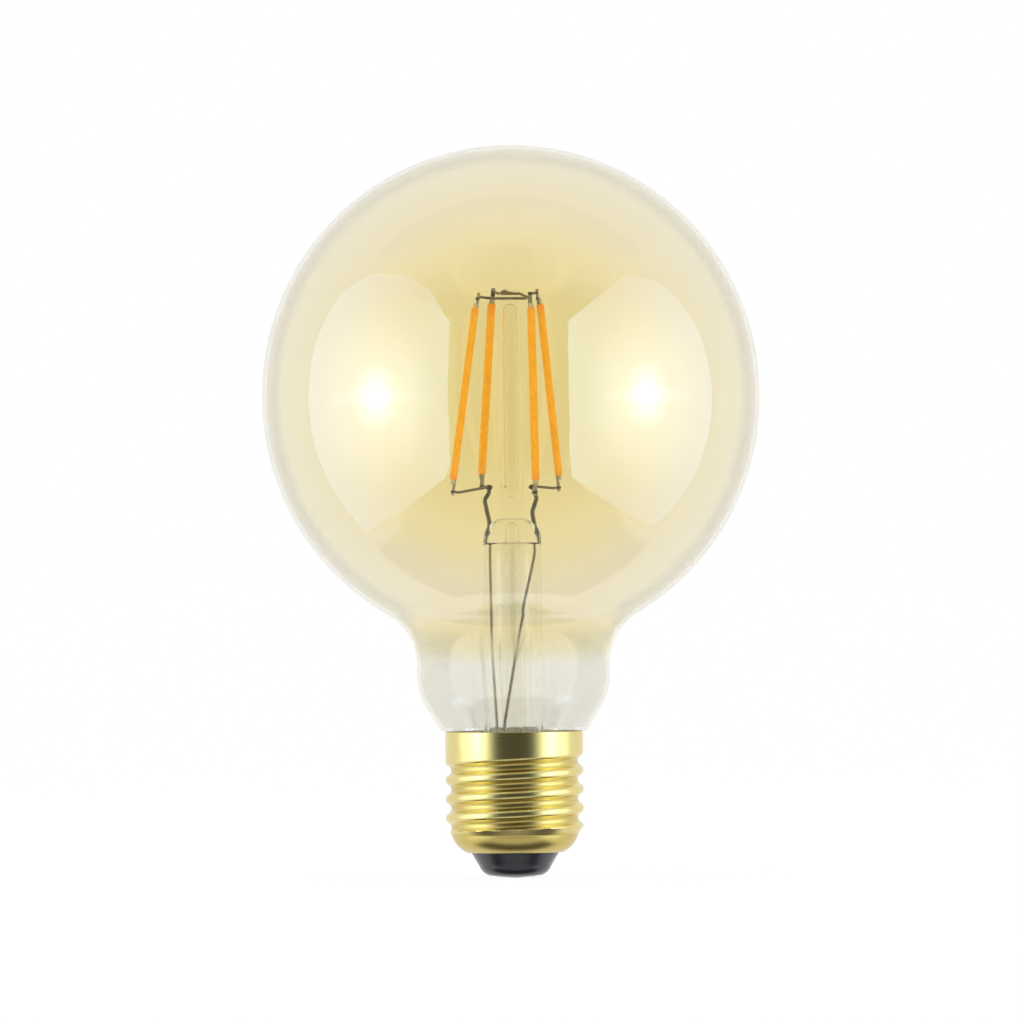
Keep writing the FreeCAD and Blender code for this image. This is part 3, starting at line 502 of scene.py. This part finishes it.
class GLOBE_BULB_OT_globe(bpy.types.Operator):
    """Blow the globe, its hollow neck and its seat on the cap as one thin shell of glass"""

    bl_idname = "globe_bulb.globe"
    bl_label = "Glass Globe"

    def execute(self, context):
        given = sizes()
        radius = given.globe_radius / MM
        wall = given.glass_wall / MM
        neck = given.neck_radius / MM
        fillet = given.neck_fillet / MM
        rim = given.rim_height / MM
        crown = given.total_height / MM
        ball = crown - radius
        lower = ball - 1.0
        span = radius + fillet
        side = neck + fillet
        drop = math.sqrt(span * span - side * side)
        waist = lower - drop
        hip = waist - 1.8
        hip_round = 13.0
        heel_round = 0.5
        lean = math.radians(32.0)
        ledge = 12.5
        skirt = 11.35
        throat = 11.7
        step_foot, step_top = rim - 3.6, rim - 1.0
        swell = neck - hip_round
        slope = math.tan(lean)
        hip_foot = (swell + hip_round * math.cos(lean), hip - hip_round * math.sin(lean))
        inner_foot = (swell + (hip_round - wall) * math.cos(lean), hip - (hip_round - wall) * math.sin(lean))
        heel_top = rim + heel_round - heel_round * math.sin(lean)
        heel = hip_foot[0] - (hip_foot[1] - heel_top) * slope
        heel_centre = heel - heel_round * math.cos(lean)
        inner = radius - wall
        line = Outline(0.0, crown)
        line.arc(radius, ball, radius, -1, 1.5)
        line.run(radius, lower)
        line.arc(side * radius / span, lower - drop * radius / span, radius, -1, 1.5)
        line.arc(neck, waist, fillet, 1, 3.0)
        line.run(neck, hip)
        line.arc(hip_foot[0], hip_foot[1], hip_round, -1, 2.5)
        line.run(heel, heel_top, 3)
        line.arc(heel_centre, rim, heel_round, -1, 15.0)
        line.run(ledge, rim)
        line.run(ledge, step_top)
        line.run(skirt, step_foot)
        line.run(skirt, SEAL_HEIGHT)
        line.run(SEAL_RADIUS, SEAL_HEIGHT)
        line.run(SEAL_RADIUS, step_foot)
        line.run(throat, step_top)
        line.run(throat, rim + wall)
        line.run(inner_foot[0] - (inner_foot[1] - rim - wall) * slope, rim + wall)
        line.run(inner_foot[0], inner_foot[1], 3)
        line.arc(neck - wall, hip, hip_round - wall, 1, 2.5)
        line.run(neck - wall, waist)
        line.arc(side * inner / span, lower - drop * inner / span, fillet + wall, -1, 3.0)
        line.arc(inner, lower, inner, 1, 1.5)
        line.run(inner, ball)
        line.arc(0.0, crown - wall, inner, 1, 1.5)
        add_piece("globe_shell", line.turned(224), gold_glass(), ["glass_globe"])
        return {"FINISHED"}


class GLOBE_BULB_OT_mount(bpy.types.Operator):
    """Draw the clear mount: flared stem with its pinched press, exhaust tube and pillar"""

    bl_idname = "globe_bulb.mount"
    bl_label = "Glass Mount"

    def execute(self, context):
        glass = clear_glass("stem_glass", 1.34)
        stem = Outline(0.0, PRESS_TOP)
        stem.run(2.7, PRESS_TOP, 2)
        stem.arc(STEM_RADIUS, 65.4, 4.2, -1, 5.0)
        stem.run(STEM_RADIUS, FLARE_TOP, 24)
        stem.arc(SEAL_RADIUS, 21.2, 10.1, 1, 4.0)
        stem.run(SEAL_RADIUS, SEAL_HEIGHT)
        stem.run(9.85, SEAL_HEIGHT)
        stem.arc(STEM_BORE, FLARE_TOP, 10.8, -1, 4.0)
        stem.run(STEM_BORE, 63.4, 24)
        stem.arc(4.2, 64.0, 0.6, 1, 15.0)
        stem.run(TUBE_BORE, 64.0)
        stem.run(TUBE_BORE, 66.4, 3)
        stem.arc(0.0, 67.4, 1.1, 1, 15.0)
        mesh = stem.turned(96)
        for vert in mesh.verts:
            vert.co.y *= 1.0 - PRESS_PINCH * smooth((vert.co.z / MM - PRESS_FOOT) / PRESS_RISE)
        add_piece("stem_glass", mesh, glass, ["stem_flare"])

        tube_top, tube_turn, tube_tip = 63.98, 20.6, 17.0
        tube = Outline(TUBE_BORE, tube_top)
        tube.run(TUBE_RADIUS, tube_top)
        tube.run(TUBE_RADIUS, tube_turn, 30)
        tube.arc(0.6, tube_tip, 10.8, -1, 4.0)
        tube.run(0.0, tube_tip)
        bore = Outline(0.0, 18.5)
        bore.arc(TUBE_BORE, tube_turn, 7.2, 1, 4.0)
        bore.run(TUBE_BORE, tube_top, 30)
        mesh = tube.turned(64)
        take_in(mesh, bore.turned(64))
        bmesh.ops.remove_doubles(mesh, verts=mesh.verts, dist=0.5e-6)
        bmesh.ops.recalc_face_normals(mesh, faces=mesh.faces)
        add_piece("exhaust_glass", mesh, glass, ["exhaust_tube"])

        pillar_foot, pillar_top, pillar_round = PRESS_TOP + 0.02, 112.4, 1.3
        pillar = Outline(0.0, pillar_foot)
        pillar.run(TUBE_RADIUS, pillar_foot)
        pillar.run(TUBE_RADIUS, pillar_top - pillar_round, 24)
        pillar.arc(TUBE_RADIUS - pillar_round, pillar_top, pillar_round, 1, 6.0)
        pillar.run(0.0, pillar_top)
        cavity = Outline(0.0, 72.6)
        cavity.arc(TUBE_BORE, 73.8, TUBE_BORE, 1, 10.0)
        cavity.run(TUBE_BORE, 108.6, 20)
        cavity.arc(0.0, 109.7, 1.15, 1, 10.0)
        mesh = pillar.turned(64)
        hollow = cavity.turned(64)
        bmesh.ops.reverse_faces(hollow, faces=hollow.faces)
        take_in(mesh, hollow)
        add_piece("pillar_glass", mesh, clear_glass("pillar_glass", 1.14), ["centre_pillar"])
        return {"FINISHED"}


class GLOBE_BULB_OT_filaments(bpy.types.Operator):
    """Coat the four filaments and dress their chip strips and metal tabs"""

    bl_idname = "globe_bulb.filaments"
    bl_label = "Filaments"

    def execute(self, context):
        given = sizes()
        size = Vector((given.stick_width, given.stick_depth, given.stick_length)) / MM
        coat = phosphor()
        # The tab colour is darkened as painted shade, like the wires.
        nickel = metal("nickel_tab_painted_dark", (0.34, 0.30, 0.24), 0.36, 1500.0)
        carrier = moulded("led_carrier", (0.86, 0.84, 0.76), 0.5, 900.0)
        for name in FILAMENTS:
            mesh = bmesh.new()
            bmesh.ops.create_cube(mesh, size=1.0)
            half = Matrix.Translation((0.0, 0.0, 0.5))
            bmesh.ops.transform(mesh, matrix=half, verts=mesh.verts)
            bmesh.ops.scale(mesh, vec=size, verts=mesh.verts)
            for upright, offset, segments in ((True, 0.5, 5), (False, 0.18, 3)):
                edges = [edge for edge in mesh.edges
                         if (abs(edge.verts[0].co.z - edge.verts[1].co.z) > 1.0) == upright]
                bmesh.ops.bevel(mesh, geom=edges, offset=offset, offset_type="OFFSET", segments=segments,
                                profile=0.5, affect="EDGES", material=-1)
            for height in range(1, round(size.z)):
                bmesh.ops.bisect_plane(mesh, geom=mesh.verts[:] + mesh.edges[:] + mesh.faces[:],
                                       plane_co=(0.0, 0.0, float(height)), plane_no=(0.0, 0.0, 1.0))
            bmesh.ops.transform(mesh, matrix=Matrix.Scale(MM, 4) @ filament_matrix(name), verts=mesh.verts)
            bmesh.ops.recalc_face_normals(mesh, faces=mesh.faces)
            add_piece(f"coat_{name}", mesh, coat, [f"filament_coat_{name}"])
            dress(carrier, f"chip_strip_{name}")
            dress(nickel, f"filament_tab_top_{name}", f"filament_tab_foot_{name}")
        return {"FINISHED"}


class GLOBE_BULB_OT_wires(bpy.types.Operator):
    """Dress the wires and put a weld bead where each one meets a tab"""

    bl_idname = "globe_bulb.wires"
    bl_label = "Wires"

    def execute(self, context):
        # The wire colour is darkened as painted shade.
        nickel = metal("nickel_wire_painted_dark", colours().wire, 0.30, 1200.0)
        copper = metal("coated_lead", (0.42, 0.36, 0.27), 0.42, 1200.0)
        tinned = metal("tinned_wire", (0.60, 0.59, 0.57), 0.3, 1400.0)
        dress(nickel, "post_left", "post_right", "lower_arm_left", "lower_arm_right", "top_jumper_lower",
              "top_jumper_upper")
        dress(copper, "lead_left", "lead_right")
        dress(tinned, "neutral_wire", "live_lead", "fuse_lead")
        beads = bmesh.new()
        spots = [(Vector(weld), POST_BEAD) for weld in POST_WELDS]
        for name, height in JUMPER_HEIGHTS.items():
            foot, along, outward = filament_frame(name)
            inside = outward * BEAD_INSET
            spots.append((foot + along * ((height - foot.z) / along.z) - inside, JUMPER_BEAD))
            spots.append((foot - along * FOOT_DROP - inside, FOOT_BEAD))
        for spot, radius in spots:
            made = bmesh.ops.create_icosphere(beads, subdivisions=3, radius=radius)["verts"]
            bmesh.ops.scale(beads, vec=(1.15, 1.0, 0.85), verts=made)
            bmesh.ops.translate(beads, vec=spot, verts=made)
        bmesh.ops.scale(beads, vec=(MM, MM, MM), verts=beads.verts)
        burnt = metal("weld_bead", (0.13, 0.115, 0.09), 0.42, 1800.0, 0.2, 0.02)
        add_piece("weld_beads", beads, burnt, [])
        return {"FINISHED"}


def thread_radius(angle, height, blank):
    """Radius of the rolled shell at an angle (degrees) and height, in millimetres."""
    given = sizes()
    pitch = given.thread_pitch / MM
    depth = given.thread_depth / MM
    crest = given.barrel_radius / MM + CREST_RISE
    root = crest - depth
    bend = (pitch * pitch / 4 + depth * depth) / (4 * depth)
    radius = blank
    for turn in range(-6, 2):
        along = angle + 360.0 * turn
        if along > RUN_OUT:
            continue
        lift = (depth + 0.25) * smooth(along / RUN_OUT)
        gap = abs(height - (THREAD_START + pitch * along / 360.0))
        if gap > pitch / 2:
            continue
        if gap < pitch / 4:
            groove = root + bend - math.sqrt(bend * bend - gap * gap)
        else:
            groove = crest - bend + math.sqrt(bend * bend - (pitch / 2 - gap) ** 2)
        radius = min(radius, groove + lift)
    return radius


class GLOBE_BULB_OT_cap(bpy.types.Operator):
    """Roll the brass screw cap with its thread and set its cement"""

    bl_idname = "globe_bulb.cap"
    bl_label = "Screw Cap"

    def execute(self, context):
        given = sizes()
        rim = given.rim_height / MM
        barrel = given.barrel_radius / MM
        root = barrel - given.thread_depth / MM + CREST_RISE
        lip = 0.12
        plain_foot, barrel_foot, round_top, foot = 24.6, 9.8, 8.3, 4.85
        line = Outline(barrel - lip, rim)
        line.arc(barrel, rim - lip, lip, -1, 30.0)
        line.run(barrel, plain_foot, 8)
        line.run(barrel, barrel_foot, 116)
        line.run(root, round_top, 14)
        line.arc(9.2, foot, 5.2, -1, 3.0)
        line.run(8.6, foot, 2)
        mesh = line.turned(256)
        for vert in mesh.verts:
            height = vert.co.z / MM
            if not THREAD_FOOT < height < THREAD_TOP:
                continue
            blank = math.hypot(vert.co.x, vert.co.y) / MM
            angle = math.degrees(math.atan2(vert.co.y, vert.co.x))
            scale = thread_radius(angle, height, blank) / blank
            vert.co.x *= scale
            vert.co.y *= scale
        first = next(iter(mesh.faces))
        middle = first.calc_center_median()
        if first.normal.dot(Vector((middle.x, middle.y, 0.0))) < 0:
            bmesh.ops.reverse_faces(mesh, faces=mesh.faces)
        shell = add_piece("cap_brass", mesh, brass(), ["cap_shell"], 60.0)
        wall = shell.modifiers.new("sheet", "SOLIDIFY")
        wall.thickness = 0.3 * MM
        wall.offset = -1.0
        dress(moulded("capping_cement", (0.78, 0.72, 0.58), 0.85, 700.0, 0.05), "capping_cement")
        return {"FINISHED"}


class GLOBE_BULB_OT_contact(bpy.types.Operator):
    """Mould the black insulator and press the centre contact with its solder"""

    bl_idname = "globe_bulb.contact"
    bl_label = "Insulator and Contact"

    def execute(self, context):
        bore, skirt, flange = 1.0, 8.55, 9.1
        foot, ledge, step, top = 0.45, 4.8, 5.15, 6.65
        form = Outline(bore, top)
        form.run(bore, foot, 4)
        form.run(5.1, foot, 4)
        form.arc(6.9, 2.3, 3.0, 1, 6.0)
        form.run(8.4, ledge, 6)
        form.run(skirt, ledge)
        form.run(skirt, step)
        form.run(flange, step)
        form.run(flange, top)
        form.run(bore, top)
        add_piece("insulator_glass", form.turned(128), black_glass(), ["cap_insulator"], 30.0)

        hole, face, boss = 0.36, 0.2, 0.8
        plate = Outline(hole, face)
        plate.run(3.65, face, 6)
        plate.arc(4.0, foot, 0.35, 1, 15.0)
        plate.run(bore, foot, 4)
        plate.run(bore, boss)
        plate.run(hole, boss)
        plate.run(hole, face)
        add_piece("contact_plate", plate.turned(96), metal("contact_plate", colours().contact, 0.3, 900.0),
                  ["centre_contact"])

        drop = Outline(0.0, 0.0)
        drop.run(1.1, 0.0, 4)
        drop.arc(1.95, face, 2.925, 1, 4.0)
        drop.run(0.0, face)
        add_piece("solder_drop", drop.turned(64), metal("solder", (0.42, 0.42, 0.43), 0.42, 1600.0, 0.2, 0.03),
                  ["contact_solder"])
        return {"FINISHED"}


class GLOBE_BULB_OT_driver(bpy.types.Operator):
    """Dress the driver board and the parts on it"""

    bl_idname = "globe_bulb.driver"
    bl_label = "Driver"

    def execute(self, context):
        dress(moulded("circuit_board", (0.05, 0.20, 0.09), 0.4, 1300.0), "driver_board")
        dress(moulded("moulded_black", (0.02, 0.02, 0.021), 0.45, 1500.0), "bridge_rectifier", "driver_chip")
        dress(moulded("capacitor_sleeve", (0.03, 0.035, 0.05), 0.3, 800.0), "smoothing_capacitor")
        dress(moulded("resistor_coat", (0.30, 0.36, 0.30), 0.4, 1200.0), "fuse_resistor")
        return {"FINISHED"}


# Corners of each soft box in its upright plane: along the way the camera looks, and above the globe's centre.
SOFT_BOXES = {
    "left": (-0.6, ((0.15, -0.54), (0.155, 0.16), (0.13, 0.36), (0.02, 0.53), (-0.25, 0.70), (-0.54, 0.78),
                    (-1.0, 0.70), (-1.10, 0.3), (-1.10, -0.3), (-1.0, -0.62), (-0.85, -0.72))),
    "right": (0.6, ((0.10, -0.54), (0.14, -0.28), (0.145, 0.0), (0.12, 0.22), (0.04, 0.43), (-0.144, 0.60),
                    (-1.05, 0.74), (-1.18, 0.4), (-1.22, 0.0), (-1.14, -0.5), (-0.95, -0.80))),
}

# Height of the globe's centre, and width of the dim frame inside each soft box's outline, in metres.
GLOBE_CENTRE = 0.092
BOX_FRAME = 0.075

# Pale ring round the neck: radius, depth and the height of its middle, in millimetres.
RING_RADIUS, RING_DEPTH, RING_HEIGHT = 24.0, 16.0, 36.5

# Dark room: half its width and its radius in metres, and the degrees it starts from and turns through.
ROOM_HALF, ROOM_RADIUS, ROOM_START, ROOM_TURN = 1.4, 1.5, 112.0, -200.0

# Camera: distance, height and width of its view there in metres, sensor width in millimetres, roll in degrees.
EYE_AWAY, EYE_HEIGHT, VIEW_WIDTH, SENSOR_WIDTH, EYE_ROLL = 2.3, 0.06987, 0.19574, 36.0, -0.55

# Bounces that light needs through the nested glass, and through its clear shares.
GLASS_BOUNCES, CLEAR_BOUNCES = 28, 16


def stage_piece(name, mesh, *materials, shown=False):
    """A piece of the stage, hidden from the camera unless shown."""
    item = new_object(name, mesh, materials)
    item.visible_camera = shown
    return item


def floor_finish():
    """Pale floor that is almost white where it is seen."""
    finish = Finish("stage_floor")
    paint = finish.node("ShaderNodeBsdfDiffuse", None, {"Color": (0.9, 0.9, 0.9, 1.0)})
    return finish.surface(finish.mix(finish.ray("Is Camera Ray") * 0.9, paint, finish.glow(WHITE, 1.03)))


def mirrored_only(finish, share, card):
    """A card that only mirrored rays meet, also where they have passed through glass."""
    mirrored = finish.node("ShaderNodeMath", {"operation": "MINIMUM"}, {0: finish.ray("Glossy Depth"), 1: 1.0})
    straight = finish.ray("Is Transmission Ray") * (1.0 - mirrored)
    return finish.surface(finish.mix((1.0 - straight) * share, finish.clear(), card))


def lamp_finish():
    """Soft box with a bright heart and a faint streak; cooler and brighter in glass than in the brass."""
    finish = Finish("soft_box")
    place = finish.place()
    apart = finish.distance(place, (0.0, 1.0, 1.0), (0.0, 0.30, -GLOBE_CENTRE))
    streak = finish.distance(place, (0.0, 0.3, 3.5), (0.0, 0.09, -3.5 * GLOBE_CENTRE))
    along = finish.axis(place, "Y")
    mirror = finish.ray("Is Singular Ray")
    plain = 0.85 + finish.ease(apart, 0.05, 0.75, 0.8, 0.0) + finish.ease(streak, 0.0, 0.12, 0.6, 0.0)
    heart = finish.ease(apart, 0.0, 0.17, 2.4, 0.0) + mirror * finish.ease(apart, 0.0, 0.5, 0.6, 0.0)
    satin = finish.ease(along, -1.05, -0.35, 0.12, 1.35)
    glassy = finish.ease(along, -1.1, -0.2, 5.6, 2.7) * (1.0 - finish.ray("Is Transmission Ray") * 0.5)
    level = satin + mirror * (glassy - satin)
    cool = finish.blend(finish.ease(along, -1.0, 0.0), (0.33, 0.58, 1.0, 1.0), (0.68, 0.77, 1.0, 1.0))
    colour = finish.blend(mirror, (0.85, 0.93, 1.0, 1.0), cool)
    return mirrored_only(finish, 1.0, finish.glow(colour, (plain + heart) * level))


def frame_finish():
    """Dim frame round each soft box."""
    finish = Finish("soft_box_frame")
    return mirrored_only(finish, 1.0, finish.glow(WHITE, 0.35))


def ring_finish():
    """Pale ring that keeps the soft boxes out of the neck's mirror."""
    finish = Finish("neck_ring")
    return mirrored_only(finish, finish.ray("Is Singular Ray"), finish.glow((1.0, 0.99, 0.93, 1.0), 1.15))


def card_finish():
    """Dark room in front, above and below, fading out at its sides and overhead."""
    finish = Finish("dark_room")
    place = finish.place()
    side = finish.node("ShaderNodeMath", {"operation": "ABSOLUTE"}, {0: finish.axis(place, "X")})
    height = finish.axis(place, "Z")
    through = finish.ray("Is Transmission Ray")
    share = finish.ease(side, 1.2, 1.4, 1.0, 0.0) * finish.ease(height, 1.1, 1.55, 1.0, 0.0)
    share = share * (1.0 - through * finish.ease(height, -1.5, -1.15, 1.0, 0.0))
    table = finish.ease(height, -1.38, -1.28) * finish.ease(height, -0.95, -0.5, 1.0, 0.0)
    strength = 0.08 + (table * 0.65 + finish.ease(height, 0.7, 1.3, 0.0, 0.3)) * (1.0 - through)
    return mirrored_only(finish, share, finish.glow(WHITE, strength))


def lay_floor():
    ground = bmesh.new()
    bmesh.ops.create_grid(ground, x_segments=1, y_segments=1, size=6.0,
                          matrix=Matrix.Translation((0.0, 2.0, -0.02 * MM)))
    floor = stage_piece("floor", ground, floor_finish(), shown=True)
    floor.visible_glossy = False
    floor.visible_transmission = False


def hang_soft_boxes():
    lit, dim = lamp_finish(), frame_finish()
    for side, (apart, corners) in SOFT_BOXES.items():
        box = bmesh.new()
        face = box.faces.new([box.verts.new((apart, along, GLOBE_CENTRE + up)) for along, up in corners])
        for edge in bmesh.ops.inset_region(box, faces=[face], thickness=BOX_FRAME, use_even_offset=True)["faces"]:
            edge.material_index = 1
        stage_piece(f"soft_box_{side}", box, lit, dim)


def close_room():
    """The ring round the neck and the dark room, which are there for mirrored rays alone."""
    sleeve = bmesh.new()
    bmesh.ops.create_cone(sleeve, cap_ends=False, segments=96, radius1=RING_RADIUS * MM, radius2=RING_RADIUS * MM,
                          depth=RING_DEPTH * MM, matrix=Matrix.Translation((0.0, 0.0, RING_HEIGHT * MM)))
    room = bmesh.new()
    centre = (0.0, 0.0, GLOBE_CENTRE)
    ends = [room.verts.new((across, -ROOM_RADIUS, GLOBE_CENTRE)) for across in (-ROOM_HALF, ROOM_HALF)]
    room.edges.new(ends)
    bmesh.ops.rotate(room, verts=ends, cent=centre, matrix=Matrix.Rotation(math.radians(ROOM_START), 3, "X"))
    bmesh.ops.spin(room, geom=room.verts[:] + room.edges[:], cent=centre, axis=(1.0, 0.0, 0.0),
                   angle=math.radians(ROOM_TURN), steps=50, use_merge=False)
    for card in (stage_piece("neck_ring", sleeve, ring_finish()), stage_piece("dark_room", room, card_finish())):
        card.visible_diffuse = False
        card.visible_shadow = False


def light_world():
    finish = Finish("pale_studio", "worlds")
    seen = finish.ray("Is Camera Ray") + finish.ray("Is Glossy Ray") + finish.ray("Is Transmission Ray")
    sky = finish.node("ShaderNodeBackground", None, {"Color": WHITE, "Strength": 0.82 + seen * 0.18})
    return finish.surface(sky, "ShaderNodeOutputWorld")


def set_camera():
    eye = bpy.data.cameras.new("camera")
    camera = bpy.data.objects.new("camera", eye)
    bpy.context.scene.collection.objects.link(camera)
    eye.sensor_width = SENSOR_WIDTH
    eye.lens = SENSOR_WIDTH * EYE_AWAY / VIEW_WIDTH
    upright = Matrix.Rotation(math.radians(90), 4, "X")
    roll = Matrix.Rotation(math.radians(EYE_ROLL), 4, "Z")
    camera.matrix_world = Matrix.Translation((0.0, -EYE_AWAY, EYE_HEIGHT)) @ upright @ roll
    return camera


class GLOBE_BULB_OT_stage(bpy.types.Operator):
    """Lay the pale floor, hang the soft boxes and set the camera"""

    bl_idname = "globe_bulb.stage"
    bl_label = "Stage"

    def execute(self, context):
        scene = bpy.context.scene
        lay_floor()
        hang_soft_boxes()
        close_room()
        scene.world = light_world()
        scene.camera = set_camera()
        scene.view_settings.view_transform = "Standard"
        scene.cycles.max_bounces = GLASS_BOUNCES
        scene.cycles.transmission_bounces = GLASS_BOUNCES
        scene.cycles.transparent_max_bounces = CLEAR_BOUNCES
        return {"FINISHED"}


OPERATORS = (GLOBE_BULB_OT_globe, GLOBE_BULB_OT_mount, GLOBE_BULB_OT_filaments, GLOBE_BULB_OT_wires,
             GLOBE_BULB_OT_cap, GLOBE_BULB_OT_contact, GLOBE_BULB_OT_driver, GLOBE_BULB_OT_stage)


class GLOBE_BULB_PT_panel(bpy.types.Panel):
    """Lists the bulb's pieces in the sidebar"""

    bl_idname = "GLOBE_BULB_PT_panel"
    bl_label = "Globe Bulb"
    bl_space_type = "VIEW_3D"
    bl_region_type = "UI"
    bl_category = "Globe Bulb"

    def draw(self, context):
        for group in (context.scene.globe_bulb_sizes, context.scene.globe_bulb_colours):
            for name in group.__annotations__:
                self.layout.prop(group, name)
        for operator in OPERATORS:
            self.layout.operator(operator.bl_idname)


CLASSES = (GlobeBulbSizes, GlobeBulbColours) + OPERATORS + (GLOBE_BULB_PT_panel,)


def register():
    for item in CLASSES:
        bpy.utils.register_class(item)
    bpy.types.Scene.globe_bulb_sizes = PointerProperty(type=GlobeBulbSizes)
    bpy.types.Scene.globe_bulb_colours = PointerProperty(type=GlobeBulbColours)


def unregister():
    del bpy.types.Scene.globe_bulb_colours
    del bpy.types.Scene.globe_bulb_sizes
    for item in reversed(CLASSES):
        bpy.utils.unregister_class(item)


def main():
    register()
    bpy.ops.globe_bulb.globe()
    bpy.ops.globe_bulb.mount()
    bpy.ops.globe_bulb.filaments()
    bpy.ops.globe_bulb.wires()
    bpy.ops.globe_bulb.cap()
    bpy.ops.globe_bulb.contact()
    bpy.ops.globe_bulb.driver()
    bpy.ops.globe_bulb.stage()


if __name__ == "__main__":
    main()
